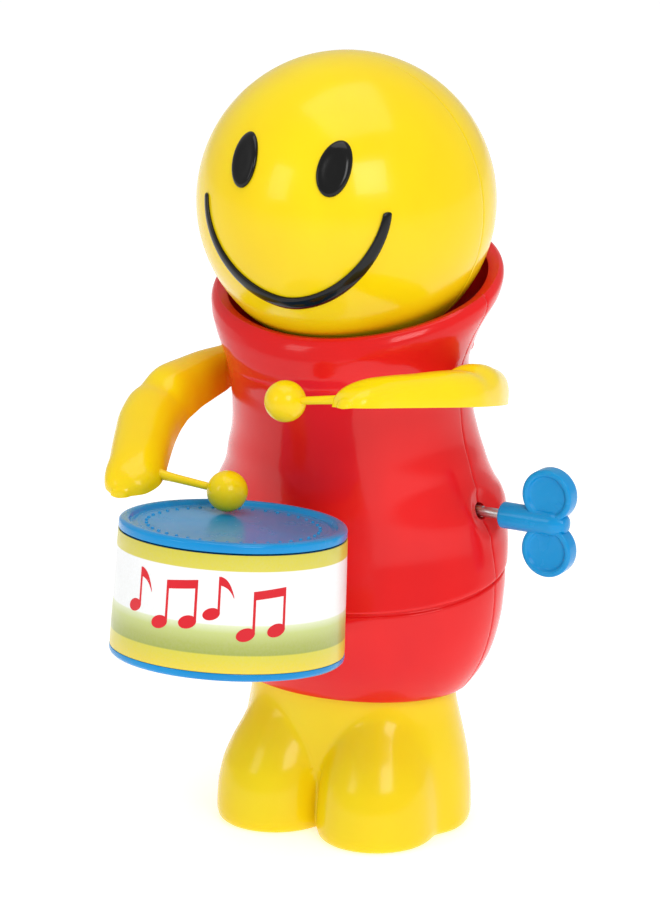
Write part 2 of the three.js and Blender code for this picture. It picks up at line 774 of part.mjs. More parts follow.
// The arbor carries the key and the ratchet wheel.
const squareEnd = keyHubStart + 8;
const arbor = rodX(-plateX - plateThick - 1.2, squareEnd, arborRadius, 0, 0);
piece("winding_arbor", arbor, steel, winding);

function ratchetWheel() {
  const teeth = 12;
  const points = [];
  for (let i = 0; i < teeth; i++) {
    const a = (2 * PI * i) / teeth;
    points.push([4.4 * cos(a), 4.4 * sin(a)]);
    points.push([6 * cos(a + 0.08), 6 * sin(a + 0.08)]);
  }
  return plateYZ(points, -5, -3.4).subtract(rodX(-9, 0, arborRadius + 0.08, 0, 0, 20));
}
piece("ratchet_wheel", ratchetWheel(), steel, winding);

const clickPivot = v(0, 3.6, -10.6);
const greatBore = arborRadius + running;
const greatWheel = gear(wheelTeeth, wheelModule, toCrank, trainX, trainX + 2, 1)
  .subtract(rodX(-12, 0, greatBore, 0, 0, 16))
  .subtract(rodX(-12, 0, 0.86, clickPivot.y, clickPivot.z, 10));
piece("great_wheel", greatWheel, brass, winding);

// The click pivots on the great wheel and rests in the ratchet's teeth.
function click() {
  const x0 = trainX + 2 + 0.3;
  const nose = [
    [clickPivot.y + 1.3, clickPivot.z + 0.6],
    [0.2, -6.5],
    [-0.9, -7.2],
    [clickPivot.y - 1.2, clickPivot.z - 1.1],
  ];
  return rodX(x0, x0 + 1.6, 1.9, clickPivot.y, clickPivot.z, 18)
    .add(plateYZ(nose.reverse(), x0, x0 + 1.6))
    .add(rodX(trainX - 0.3, x0 + 0.2, 0.8, clickPivot.y, clickPivot.z, 10));
}
piece("click", click(), steel, winding);

// The mainspring's strip winds from the arbor out to a motor post.
function mainspring() {
  const turns = 3.25;
  const steps = 56;
  const strip = 0.45;
  const x0 = 0.4;
  const x1 = 8.4;
  const rings = [];
  for (let i = 0; i <= steps; i++) {
    const t = i / steps;
    const a = 2 * PI * turns * t;
    const r = mix(arborRadius + 0.9, springRadius, t);
    rings.push(
      [[r, x0], [r, x1], [r + strip, x1], [r + strip, x0]].map(([radius, x]) =>
        v(x, radius * cos(a), radius * sin(a)),
      ),
    );
  }
  return loft(rings);
}
piece("mainspring", mainspring(), springSteel, winding);

// The crankshaft: a pinion that the great wheel drives, the fast wheel and a crank disc at each end.
const crank = new THREE.Group();
crank.position.set(0, crankY, crankZ);
part.add(crank);
const shaftR = 1.3;
const discX = 15.4;
const pinLength = 0.6;

const crankShaft = rodX(-discX - 1.2, discX + 1.2, shaftR, 0, 0, 12).add(
  gear(pinionTeeth, wheelModule, toCrank + PI + PI / pinionTeeth, trainX - 0.4, trainX + 2.4, 2),
);
piece("crankshaft", crankShaft, steel, crank);
piece(
  "fast_wheel",
  gear(fastTeeth, fastModule, toFan, fastX, fastX + 1.5, 1).subtract(rodX(-9, 0, shaftR + 0.08, 0, 0, 12)),
  brass,
  crank,
);
for (const side of [1, -1]) {
  const name = side > 0 ? "left" : "right";
  const disc = rodX(discX, discX + 1.5, 4.2, 0, 0, 20)
    .subtract(rodX(discX - 1, discX + 3, shaftR + 0.08, 0, 0, 12))
    .add(rodX(discX + 1.4, discX + 1.5 + pinLength, leverPin, 0, -side * crankRadius, 10));
  piece(name + "_crank", side > 0 ? disc : mirrored(disc), brass, crank);
}

// The air brake spins on the last pinion.
const fan = new THREE.Group();
fan.position.set(0, fanY, fanZ);
part.add(fan);
const fanShaftR = 0.9;
piece(
  "fan_shaft",
  rodX(-plateX - plateThick - 0.8, plateX + plateThick + 0.8, fanShaftR, 0, 0, 14).add(
    gear(pinionTeeth, fastModule, toFan + PI + PI / pinionTeeth, fastX - 0.3, fastX + 1.8, 2),
  ),
  steel,
  fan,
);
const blade = box(v(-1.6, -4.8, -0.35), v(11, 4.8, 0.35))
  .add(rodX(-1.6, 11, fanShaftR + 0.9, 0, 0, 16))
  .subtract(rodX(-3, 12, fanShaftR + 0.08, 0, 0, 14));
piece("air_brake", blade, nylon, fan);

// ---------------------------------------------------------------- motor frame

const plateLow = keyHeight - 20;
const plateHigh = shoulderHeight - 1.5;
const plateFront = -17;
const plateBack = crankY + 5.5;
const posts = [
  [plateFront + 3, plateLow + 3],
  [plateBack - 3, plateLow + 3],
  [plateFront + 3, plateHigh - 3],
  [plateBack - 3, plateHigh - 3],
];
const postR = 1.9;

function motorPlate() {
  const cut = 3;
  const outline = [
    [plateFront + cut, plateLow],
    [plateBack - cut, plateLow],
    [plateBack, plateLow + cut],
    [plateBack, plateHigh - cut],
    [plateBack - cut, plateHigh],
    [plateFront + cut, plateHigh],
    [plateFront, plateHigh - cut],
    [plateFront, plateLow + cut],
  ];
  let plate = plateYZ(outline, plateX, plateX + plateThick);
  const hole = (y, z, r) => rodX(plateX - 1, plateX + 3, r + running, y, z, 12);
  plate = plate
    .subtract(hole(0, keyHeight, arborRadius))
    .subtract(hole(crankY, crankZ, shaftR))
    .subtract(hole(fanY, fanZ, fanShaftR));
  for (const [y, z] of posts) plate = plate.subtract(hole(y, z, 1));
  return plate;
}
piece("motor_plate_left", motorPlate(), steel);
piece("motor_plate_right", mirrored(motorPlate()), steel);

posts.forEach(([y, z], i) => {
  const post = rodX(-plateX + 0.05, plateX - 0.05, postR, y, z, 12).add(
    rodX(-plateX - plateThick + 0.1, plateX + plateThick - 0.1, 1, y, z, 10),
  );
  piece("motor_post_" + (i + 1), post, steel);
});

// The bridge joins the plates above and holds the neck bearing.
const bridgeZ = plateHigh + 0.2;
const bridgeThick = 1.4;
const bridgeHole = postRadius + 1.9;
piece(
  "neck_bridge",
  box(v(-plateX - plateThick, -14, bridgeZ), v(plateX + plateThick, 9, bridgeZ + bridgeThick)).subtract(
    rodZ(bridgeZ - 1, bridgeZ + 3, bridgeHole + 0.05, 0, -headForward, 16),
  ),
  steel,
);
const bearingTop = headHeight - headRadius - 1.1;
piece(
  "neck_bearing",
  rodZ(bridgeZ + bridgeThick + 0.1, bearingTop, bridgeHole + 2, 0, -headForward, 16)
    .add(rodZ(bridgeZ, bridgeZ + bridgeThick + 0.2, bridgeHole, 0, -headForward, 16))
    .subtract(rodZ(bridgeZ - 1, bearingTop + 1, postRadius + running, 0, -headForward, 24)),
  nylon,
);

// Two floor brackets carry the motor on the lower screw bosses.
const bracketHalfDepth = 9;
const bracketStart = plateX + plateThick + 0.1;
const bracketEnd = bellyHalfWidth - 6.5;
for (const side of [1, -1]) {
  const name = side > 0 ? "motor_bracket_left" : "motor_bracket_right";
  const shelf = box(
    v(bracketStart, -bracketHalfDepth, keyHeight - 17),
    v(bracketEnd, bracketHalfDepth, keyHeight - 15.4),
  );
  const flange = box(
    v(bracketStart, -bracketHalfDepth, keyHeight - 19),
    v(bracketStart + 1.3, bracketHalfDepth, keyHeight - 15.5),
  );
  const bracket = shelf.add(flange);
  piece(name, side > 0 ? bracket : mirrored(bracket), steel);
}

export default part;
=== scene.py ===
"""Looks of the wind-up drummer: smooth moulded shells, materials, floor, lights and camera.

Lengths are millimetres until a mesh is made. The CAD model gives every place: +Z is up, the face and
the drum are towards -Y, and the key is towards +X.
"""

import json
import math

import bmesh
import bpy
import numpy as np
from mathutils import Matrix, Vector


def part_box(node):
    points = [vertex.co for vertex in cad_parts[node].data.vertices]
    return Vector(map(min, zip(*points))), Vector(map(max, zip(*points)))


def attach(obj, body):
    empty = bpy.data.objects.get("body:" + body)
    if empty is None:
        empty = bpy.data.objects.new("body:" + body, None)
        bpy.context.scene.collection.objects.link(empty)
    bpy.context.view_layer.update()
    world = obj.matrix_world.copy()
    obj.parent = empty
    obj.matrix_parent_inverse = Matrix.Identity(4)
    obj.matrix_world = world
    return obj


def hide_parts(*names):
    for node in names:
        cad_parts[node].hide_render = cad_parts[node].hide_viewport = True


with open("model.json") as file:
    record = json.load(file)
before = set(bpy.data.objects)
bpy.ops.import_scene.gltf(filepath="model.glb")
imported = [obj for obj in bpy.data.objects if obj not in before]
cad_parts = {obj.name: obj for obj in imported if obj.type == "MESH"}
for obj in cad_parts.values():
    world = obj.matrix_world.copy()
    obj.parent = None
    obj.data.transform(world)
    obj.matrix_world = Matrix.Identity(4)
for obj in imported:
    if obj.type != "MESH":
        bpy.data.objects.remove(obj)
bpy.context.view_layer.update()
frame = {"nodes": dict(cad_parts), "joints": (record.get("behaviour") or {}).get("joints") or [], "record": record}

MM = 0.001
PI = math.pi


# ---------------------------------------------------------------- sizes read from the frame


def node_box(*nodes):
    """Lowest and highest corner of some CAD nodes together, in millimetres."""
    corners = [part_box(n) for n in nodes]
    low = np.min([np.array(c[0]) for c in corners], axis=0) / MM
    high = np.max([np.array(c[1]) for c in corners], axis=0) / MM
    return low, high


def joint_place(name):
    """Where a joint's axis is, in millimetres."""
    found = next(j for j in frame["joints"] if j["name"] == name)
    return np.array(found["pos_m"]) / MM


head_low, head_high = node_box("head_front_shell", "head_rear_shell")
HEAD_RADIUS = (head_high[0] - head_low[0]) / 2
HEAD_CENTRE = np.array([0, joint_place("head_turn")[1], head_high[2] - HEAD_RADIUS])
HEAD_TURNED = math.radians(4)

lid_low, lid_high = node_box("drum_lid")
DRUM_RADIUS = (lid_high[0] - lid_low[0]) / 2
DRUM_PITCH = math.radians(6.3)
LID_BAND = 2.6
DRUM_HEIGHT = 36
DRUM_SPREAD = 1.0  # the drum's foot is this much wider than its lid, on the radius

SHOULDER_BACK, SHOULDER = joint_place("left_arm_swing")[1:3]
ARM_SWING = math.radians(26.28)
ARM_RAISED = math.radians(12)

KEY_HEIGHT = joint_place("key_turn")[2]
key_low, key_high = node_box("key")

feet_high = node_box("feet_base")[1]
BODY_WALL = 2


# ---------------------------------------------------------------- mesh helpers


def mix(a, b, t):
    return a + (b - a) * t


def through(xs, ys, x):
    """A smooth curve through points that never overshoots them; ys may have several columns."""
    xs = np.asarray(xs, float)
    ys = np.asarray(ys, float).reshape(len(xs), -1)
    x = np.asarray(x, float)
    step = np.diff(xs)[:, None]
    slope = np.diff(ys, axis=0) / step
    tangent = np.zeros_like(ys)
    tangent[0], tangent[-1] = slope[0], slope[-1]
    same_way = slope[:-1] * slope[1:] > 0
    safe = np.where(same_way, slope[:-1] + slope[1:], 1)
    tangent[1:-1] = np.where(same_way, 2 * slope[:-1] * slope[1:] / safe, 0)
    i = np.clip(np.searchsorted(xs, x, side="right") - 1, 0, len(xs) - 2)
    h = step[i]
    t = ((x - xs[i]) / h[:, 0])[:, None]
    return (
        (1 + 2 * t) * (1 - t) ** 2 * ys[i]
        + t * (1 - t) ** 2 * h * tangent[i]
        + t * t * (3 - 2 * t) * ys[i + 1]
        + t * t * (t - 1) * h * tangent[i + 1]
    )


def add_mesh(name, points, faces, sharp=35):
    """A Blender object from points in millimetres, with its faces turned out and shaded smooth."""
    mesh = bpy.data.meshes.new(name)
    mesh.from_pydata([tuple(p) for p in np.asarray(points, float) * MM], [], faces)
    work = bmesh.new()
    work.from_mesh(mesh)
    bmesh.ops.recalc_face_normals(work, faces=work.faces)
    work.to_mesh(mesh)
    work.free()
    smooth(mesh, sharp)
    made = bpy.data.objects.new(name, mesh)
    bpy.context.scene.collection.objects.link(made)
    return made


def smooth(mesh, sharp):
    mesh.polygons.foreach_set("use_smooth", [True] * len(mesh.polygons))
    mesh.set_sharp_from_angle(angle=math.radians(sharp))


def skin(rings, ring_to_ring=False):
    """Points and faces of a closed solid through rings of points; open ends get a cap."""
    rings = np.asarray(rings, float)
    rows, count = rings.shape[:2]
    points = [tuple(p) for p in rings.reshape(-1, 3)]
    faces = []
    for r in range(rows if ring_to_ring else rows - 1):
        a, b = r * count, (r + 1) % rows * count
        for i in range(count):
            j = (i + 1) % count
            faces.append((a + i, a + j, b + j, b + i))
    if not ring_to_ring:
        for r in (0, rows - 1):
            points.append(tuple(rings[r].mean(axis=0)))
            a = r * count
            faces += [(a + i, a + (i + 1) % count, len(points) - 1) for i in range(count)]
    return np.array(points), faces


def loft(name, rings, ring_to_ring=False, sharp=35):
    return add_mesh(name, *skin(rings, ring_to_ring), sharp=sharp)


def lathe_rings(profile, sides):
    """Rings round the Z axis from [radius, height] points; a radius of zero becomes a tiny one."""
    turn = np.linspace(0, 2 * PI, sides, endpoint=False)
    radius = np.maximum(np.asarray(profile, float)[:, 0], 0.01)
    height = np.asarray(profile, float)[:, 1]
    x = radius[:, None] * np.cos(turn)
    y = radius[:, None] * np.sin(turn)
    return np.stack([x, y, np.broadcast_to(height[:, None], x.shape)], axis=2)


def rounded(corners, radius=0.3, steps=4):
    """A profile with its corners rounded: corners are [r, z], or [r, z, radius]."""
    corners = [tuple(c) if len(c) == 3 else (*c, radius) for c in corners]
    made = [corners[0][:2]]
    for before, here, after in zip(corners, corners[1:], corners[2:]):
        p = np.array(here[:2])
        to_before, to_after = np.array(before[:2]) - p, np.array(after[:2]) - p
        near, far = np.linalg.norm(to_before), np.linalg.norm(to_after)
        reach = min(here[2], near * 0.45, far * 0.45)
        start, end = p + to_before / near * reach, p + to_after / far * reach
        for k in range(steps + 1):
            t = k / steps
            made.append(tuple((1 - t) ** 2 * start + 2 * t * (1 - t) * p + t * t * end))
    made.append(corners[-1][:2])
    return made


def turned(points, matrix):
    """Points moved by a 4x4 matrix."""
    m = np.array(matrix)
    return np.asarray(points, float) @ m[:3, :3].T + m[:3, 3]


def rod(name, start, end, radius, end_radius=None, sides=32, edge=0.15):
    """A round bar between two points, with its edges broken."""
    start, end = Vector(start), Vector(end)
    length = (end - start).length
    far = radius if end_radius is None else end_radius
    edge = min(edge, radius / 3, far / 3)
    profile = [[radius - edge, 0], [radius, edge], [far, length - edge], [far - edge, length]]
    aim = (end - start).to_track_quat("Z", "Y").to_matrix().to_4x4()
    place = Matrix.Translation(start) @ aim
    return loft(name, turned(lathe_rings(profile, sides), place))


def ball(name, centre, radius, sides=48, rows=24):
    up = np.linspace(-PI / 2, PI / 2, rows + 1)[1:-1]
    profile = [[radius * math.cos(a), radius * math.sin(a)] for a in up]
    rings = lathe_rings(profile, sides) + np.array(centre)
    return loft(name, rings)


def carve(target, tools, operation="DIFFERENCE", sharp=35):
    """Cuts the tools away from the target, or joins them to it, and removes the tools."""
    for tool in tools:
        step = target.modifiers.new("carve", "BOOLEAN")
        step.operation = operation
        step.solver = "MANIFOLD"
        step.object = tool
    bpy.context.view_layer.update()
    graph = bpy.context.evaluated_depsgraph_get()
    mesh = bpy.data.meshes.new_from_object(target.evaluated_get(graph))
    target.modifiers.clear()
    target.data = mesh
    mesh.name = target.name
    smooth(mesh, sharp)
    for tool in tools:
        bpy.data.objects.remove(tool)
    return target


def joined(name, parts):
    """Several closed pieces of one moulding as one mesh."""
    points, faces = [], []
    for part in parts:
        start = len(points)
        points += [part.matrix_world @ v.co / MM for v in part.data.vertices]
        faces += [[start + i for i in p.vertices] for p in part.data.polygons]
        bpy.data.objects.remove(part)
    return add_mesh(name, [tuple(p) for p in points], faces)


# ---------------------------------------------------------------- materials


def new_material(name, metallic=0.0, coat=0.0, coat_roughness=0.03, ior=1.5):
    made = bpy.data.materials.new(name)
    made.use_nodes = True
    shader = made.node_tree.nodes["Principled BSDF"]
    shader.inputs["Metallic"].default_value = metallic
    shader.inputs["IOR"].default_value = ior
    shader.inputs["Coat Weight"].default_value = coat
    shader.inputs["Coat Roughness"].default_value = coat_roughness
    return made, made.node_tree, shader


def noise(tree, scale, detail=2.0, stretch=None):
    """Noise over the object's own space; scale is in features a metre."""
    place = tree.nodes.new("ShaderNodeTexCoord")
    made = tree.nodes.new("ShaderNodeTexNoise")
    made.inputs["Scale"].default_value = scale
    made.inputs["Detail"].default_value = detail
    source = place.outputs["Object"]
    if stretch is not None:
        mapping = tree.nodes.new("ShaderNodeMapping")
        mapping.inputs["Scale"].default_value = stretch
        tree.links.new(source, mapping.inputs["Vector"])
        source = mapping.outputs["Vector"]
    tree.links.new(source, made.inputs["Vector"])
    return made.outputs["Fac"]


def ranged(tree, value, low, high, start=0.3, end=0.7):
    made = tree.nodes.new("ShaderNodeMapRange")
    made.inputs["From Min"].default_value = start
    made.inputs["From Max"].default_value = end
    made.inputs["To Min"].default_value = low
    made.inputs["To Max"].default_value = high
    tree.links.new(value, made.inputs["Value"])
    return made.outputs["Result"]


def blended(tree, factor, first, second):
    """A mix of two colours, each a colour or another node's output."""
    made = tree.nodes.new("ShaderNodeMix")
    made.data_type = "RGBA"
    tree.links.new(factor, made.inputs["Factor"])
    for socket, colour in (("A", first), ("B", second)):
        target = [s for s in made.inputs if s.name == socket and s.type == "RGBA"][0]
        if isinstance(colour, bpy.types.NodeSocket):
            tree.links.new(colour, target)
        else:
            target.default_value = (*colour, 1)
    return [s for s in made.outputs if s.type == "RGBA"][0]


def bumped(tree, shader, layers):
    """Bump from layers of (height output, distance in millimetres, strength)."""
    below = None
    for height, distance, strength in layers:
        bump = tree.nodes.new("ShaderNodeBump")
        bump.inputs["Strength"].default_value = strength
        bump.inputs["Distance"].default_value = distance * MM
        tree.links.new(height, bump.inputs["Height"])
        if below is not None:
            tree.links.new(below, bump.inputs["Normal"])
        below = bump.outputs["Normal"]
    tree.links.new(below, shader.inputs["Normal"])


def moulded_plastic(name, colour, deep, rough=0.2, glow=0.0):
    """Glossy moulded plastic: flow marks in its colour, soft waviness, and a fine handled surface."""
    made, tree, shader = new_material(name, coat=0.12, ior=1.45)
    shader.inputs["Specular IOR Level"].default_value = 0.28
    flow = ranged(tree, noise(tree, 28, 3, (1, 1, 0.45)), 0, 1, 0.35, 0.7)
    tint = blended(tree, flow, colour, deep)
    tree.links.new(tint, shader.inputs["Base Color"])
    handled = ranged(tree, noise(tree, 140, 4), rough * 0.8, rough * 1.35)
    tree.links.new(handled, shader.inputs["Roughness"])
    shader.inputs["Subsurface Weight"].default_value = glow
    shader.inputs["Subsurface Radius"].default_value = (1.0, 0.55, 0.15)
    shader.inputs["Subsurface Scale"].default_value = 1.6 * MM
    waves = noise(tree, 45, 1)
    grain = noise(tree, 900, 3)
    bumped(tree, shader, [(waves, 0.25, 0.35), (grain, 0.02, 0.15)])
    return made


def metal(name, colour, dark, rough, brush=(1, 60, 60)):
    """Plated or brushed metal, its scratches running along X."""
    made, tree, shader = new_material(name, metallic=1.0)
    scratches = noise(tree, 120, 4, brush)
    stain = ranged(tree, noise(tree, 90, 3), 0, 1)
    tree.links.new(blended(tree, stain, colour, dark), shader.inputs["Base Color"])
    tree.links.new(ranged(tree, scratches, rough * 0.7, rough * 1.4), shader.inputs["Roughness"])
    bumped(tree, shader, [(scratches, 0.02, 0.3)])
    return made


def printed_label():
    """Printed bands by the label's own height attribute, under a thin varnish."""
    made, tree, shader = new_material("label_print", coat=0.25, coat_roughness=0.1)
    height = tree.nodes.new("ShaderNodeAttribute")
    height.attribute_name = "label_height"
    ramp = tree.nodes.new("ShaderNodeValToRGB")
    bands = [
        (0.0, (0.80, 0.62, 0.02)),
        (0.150, (0.66, 0.60, 0.03)),
        (0.158, (0.33, 0.38, 0.05)),
        (0.235, (0.40, 0.45, 0.09)),
        (0.34, (0.55, 0.62, 0.20)),
        (0.405, (0.74, 0.80, 0.52)),
        (0.415, (0.90, 0.92, 0.92)),
        (0.862, (0.92, 0.93, 0.94)),
        (0.866, (0.68, 0.60, 0.045)),
        (1.0, (0.62, 0.56, 0.03)),
    ]
    elements = ramp.color_ramp.elements
    while len(elements) < len(bands):
        elements.new(0.5)
    for element, (place, colour) in zip(elements, bands):
        element.position = place
        element.color = (*colour, 1)
    tree.links.new(height.outputs["Fac"], ramp.inputs["Fac"])
    fibre = ranged(tree, noise(tree, 1500, 4), 0, 0.12)
    paper = blended(tree, fibre, ramp.outputs["Color"], (0.55, 0.53, 0.42))
    tree.links.new(paper, shader.inputs["Base Color"])
    tree.links.new(ranged(tree, noise(tree, 250, 3), 0.28, 0.42), shader.inputs["Roughness"])
    bumped(tree, shader, [(noise(tree, 700, 4), 0.02, 0.25)])
    return made


MATERIALS = {
    "yellow_plastic": moulded_plastic(
        "yellow_plastic", (0.93, 0.70, 0.004), (0.89, 0.62, 0.003), 0.19, 0.12
    ),
    "red_plastic": moulded_plastic(
        "red_plastic", (0.82, 0.012, 0.012), (0.70, 0.009, 0.012), 0.15, 0.04
    ),
    "blue_plastic": moulded_plastic(
        "blue_plastic", (0.003, 0.29, 0.66), (0.002, 0.24, 0.58), 0.22, 0.04
    ),
    "black_plastic": moulded_plastic(
        "black_plastic", (0.003, 0.003, 0.003), (0.005, 0.005, 0.005), 0.16
    ),
    "red_ink": moulded_plastic("red_ink", (0.72, 0.010, 0.022), (0.62, 0.010, 0.02), 0.35),
    "label_paper": printed_label(),
    "nylon": moulded_plastic("nylon", (0.82, 0.80, 0.72), (0.74, 0.71, 0.62), 0.45, 0.1),
    "steel": metal("steel", (0.62, 0.62, 0.63), (0.46, 0.46, 0.48), 0.32),
    "brass": metal("brass", (0.76, 0.54, 0.22), (0.58, 0.38, 0.14), 0.3),
    "spring_steel": metal("spring_steel", (0.22, 0.26, 0.34), (0.12, 0.13, 0.18), 0.28),
}


def finish_piece(made, body, slot, *replaced, look=None):
    """Gives a piece the material that its slot (or look) names, attaches it to the body it moves with, and hides
    the CAD nodes it stands for.
    """
    made.data.materials.clear()
    made.data.materials.append(MATERIALS[look or slot])
    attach(made, body)
    if replaced:
        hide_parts(*replaced)
    return made


# ---------------------------------------------------------------- red body

# Height on the axis, slope with y, half width, half depth, centre along y.
BODY_SECTIONS = [
    (40.0, 0.0, 32.2, 23.7, 0),
    (40.4, 0.0, 33.2, 24.7, 0),
    (45.0, 0.02, 37.0, 27.0, 0),
    (50.8, 0.05, 40.2, 29.3, 0),
    (56.7, 0.09, 42.2, 30.8, 0),
    (62.5, 0.14, 43.4, 31.7, 0),
    (69.6, 0.18, 44.0, 32.3, 0),
    (72.3, 0.193, 43.9, 32.2, 0),
    (72.8, 0.193, 43.3, 31.6, 0),
    (73.3, 0.193, 43.2, 31.5, 0),
    (73.6, 0.193, 43.9, 32.2, 0.1),
    (74.3, 0.19, 44.4, 32.6, 0.3),
    (78.5, 0.15, 43.9, 32.6, 1.5),
    (84.0, 0.10, 43.0, 32.4, 2.6),
    (91.2, 0.04, 42.2, 32.3, 3.0),
    (94.5, 0.02, 40.9, 32.2, 2.9),
    (97.6, 0.0, 38.9, 32.1, 2.5),
    (101.0, 0.0, 37.3, 31.9, 1.9),
    (105.4, 0.0, 36.0, 31.7, 1.0),
    (111.0, 0.0, 34.3, 31.4, 0.3),
    (116.5, 0.0, 33.4, 31.2, -0.7),
    (123.0, 0.0, 33.0, 31.0, -2.0),
    (130.8, 0.06, 33.2, 31.4, -3.5),
    (136.0, 0.18, 34.7, 32.7, -2.7),
    (141.0, 0.24, 36.8, 34.8, -2.0),
    (145.0, 0.27, 39.0, 36.8, -0.8),
    (148.0, 0.27, 40.5, 38.0, 0.0),
    (150.3, 0.27, 40.9, 38.2, 0.3),
    (151.9, 0.27, 40.3, 37.7, 0.5),
    (152.5, 0.27, 39.4, 36.9, 0.5),
]
BODY_COLUMNS = 104  # round half of the body
ROWS_PER_SECTION = 4
SEAM_ROUND = 0.22
SEAM_GAP = 0.06
KEY_DIMPLE = 6.5
KEY_DIMPLE_DEPTH = 2.6
SEAM_EDGE = (0.006, 0.02)  # angles of the extra columns that round the seam's edge

# The collar's front: where it starts to lean in, how far forward it leans fully, its lift, its lean.
LIP_START, LIP_REACH, LIP_RISE, LIP_IN = 133, 36, 0.6, 0.1
CREST_START, CREST_RISE, CREST_WALL = 150, 2.5, 0.9  # the rim thickens towards its crest

ARBOR_HOLE = 2.3  # hole for the winding shaft, radius
BUSH_HOLE = 4.25
SEAT_RADIUS = 5.2  # raised seat of a shoulder bush
SCREW_TUBE, SCREW_BORE = 3.7, 3.0
SOCKET_PLAY = 0.25  # round the drum's peg


def body_rows():
    """Smooth sections, as arrays of the section table's columns."""
    marks = np.arange(len(BODY_SECTIONS))
    fine = np.linspace(0, marks[-1], marks[-1] * ROWS_PER_SECTION + 1)
    return through(marks, BODY_SECTIONS, fine)


def pressed(points):
    """The dimple that the winding shaft enters, pressed into the toy's left side."""
    away = np.hypot(points[..., 1], points[..., 2] - KEY_HEIGHT) / KEY_DIMPLE
    depth = KEY_DIMPLE_DEPTH * np.clip(1 - away**2, 0, 1) ** 1.5
    moved = points.copy()
    moved[..., 0] -= np.where(points[..., 0] > 0, depth, 0)
    return moved


def half_turn(columns):
    """Angles of half a turn, closer together at the seams."""
    first, second = SEAM_EDGE
    middle = np.linspace(second, PI - second, columns)
    return np.concatenate([[0, first], middle, [PI - first, PI]])


def body_half(name, way):
    """Half of the red body as a closed shell; way is -1 for the front and 1 for the rear."""
    rows = body_rows()
    turn = half_turn(BODY_COLUMNS)
    edge = np.zeros(len(turn))
    edge[[0, -1]] = SEAM_ROUND
    edge[[1, -2]] = SEAM_ROUND / 4

    def wall_at(inset, sink):
        z0, slope, a, b, centre = (rows[:, k][:, None] for k in range(5))
        start = np.arcsin((SEAM_GAP - way * centre) / (b - np.max(inset)))
        around = start + turn / PI * (PI - 2 * start)
        x = (a - inset) * np.cos(around)
        y = centre + way * (b - inset) * np.sin(around)
        z = z0 - sink[:, None] + slope * y
        return pressed(np.stack([x, y, z], axis=2))

    def lipped(points):
        """Leans the collar's front in towards the head."""
        level = np.clip((rows[:, 0] - LIP_START) / (rows[-1, 0] - LIP_START), 0, 1)[:, None]
        front = np.clip(-points[..., 1] / LIP_REACH, 0, 1) ** 1.3 * level
        points[..., 2] += LIP_RISE * front
        points[..., 0] *= 1 - LIP_IN * front
        points[..., 1] *= 1 - LIP_IN * front
        return points

    outer = lipped(wall_at(edge, np.zeros(len(rows))))
    crest = np.clip((rows[:, 0] - CREST_START) / CREST_RISE, 0, 1)
    thicker = CREST_WALL * crest[:, None] * np.ones(len(turn))
    inner = lipped(wall_at(BODY_WALL + thicker, CREST_WALL * crest))
    count = len(turn)
    loop = np.concatenate([outer, inner[::-1]])
    points = loop.reshape(-1, 3)
    total = len(loop)
    faces = []
    for r in range(total):
        a, b = r * count, (r + 1) % total * count
        faces += [(a + i, a + i + 1, b + i + 1, b + i) for i in range(count - 1)]
    for i in (0, count - 1):
        for r in range(len(rows) - 1):
            far = total - 1 - r
            faces.append(tuple(row * count + i for row in (r, r + 1, far - 1, far)))
    return add_mesh(name, points, faces, sharp=40)


def make_body():
    front, rear = body_half("body_front", -1), body_half("body_rear", 1)
    holes = {"front": [], "rear": []}
    for side in holes:
        holes[side].append(rod("arbor_hole", (28, 0, KEY_HEIGHT), (50, 0, KEY_HEIGHT), ARBOR_HOLE))
        for way in (-1, 1):
            start, end = (way * 24, SHOULDER_BACK, SHOULDER), (way * 38, SHOULDER_BACK, SHOULDER)
            holes[side].append(rod("bush_hole", start, end, BUSH_HOLE))
    peg_low, peg_high = node_box("drum_peg")
    middle, half = (peg_low + peg_high) / 2, (peg_high - peg_low) / 2 + SOCKET_PLAY
    corners = [(-1, -1), (1, -1), (1, 1), (-1, 1)]
    socket = [
        [(middle[0] + sx * half[0], y, middle[2] + sz * half[2]) for sx, sz in corners]
        for y in (peg_low[1] - 3, peg_high[1] + 1)
    ]
    holes["front"].append(loft("socket", socket))
    carve(front, holes["front"], sharp=40)
    tubes, bores = [], []
    for way in (-1, 1):
        start, end = (way * 29.8, SHOULDER_BACK, SHOULDER), (way * 33.6, SHOULDER_BACK, SHOULDER)
        tubes.append(rod("seat", start, end, SEAT_RADIUS, SEAT_RADIUS - 0.3, sides=48))
    for i in range(4):
        low, high = node_box(f"body_screw_{i + 1}")
        x, z = (low[0] + high[0]) / 2, (low[2] + high[2]) / 2
        reach = screw_boss_reach(x, z)
        tubes.append(rod("tube", (x, high[1] - 2, z), (x, reach, z), SCREW_TUBE))
        bores.append(rod("bore", (x, high[1] - 1.6, z), (x, 60, z), SCREW_BORE))
    carve(rear, tubes, "UNION", sharp=40)
    carve(rear, bores + holes["rear"], sharp=40)
    finish_piece(front, "toy_body", "red_plastic", "body_front_shell")
    finish_piece(rear, "toy_body", "red_plastic", "body_rear_shell")


def screw_boss_reach(x, z):
    """How far back the shell's wall is at a screw, half way through the wall."""
    rows = body_rows()
    level = rows[np.argmin(abs(rows[:, 0] + rows[:, 1] * 22 - z))]
    return level[4] + (level[3] - BODY_WALL / 2) * math.sqrt(max(0, 1 - (x / level[2]) ** 2))


# ---------------------------------------------------------------- feet


def ray_exit(angle, cx, cy, radius):
    """Where a ray from the axis leaves a circle; zero if it misses."""
    along = cx * np.cos(angle) + cy * np.sin(angle)
    inside = along**2 - cx**2 - cy**2 + radius**2
    return np.where(inside > 0, along + np.sqrt(np.maximum(inside, 0)), 0)


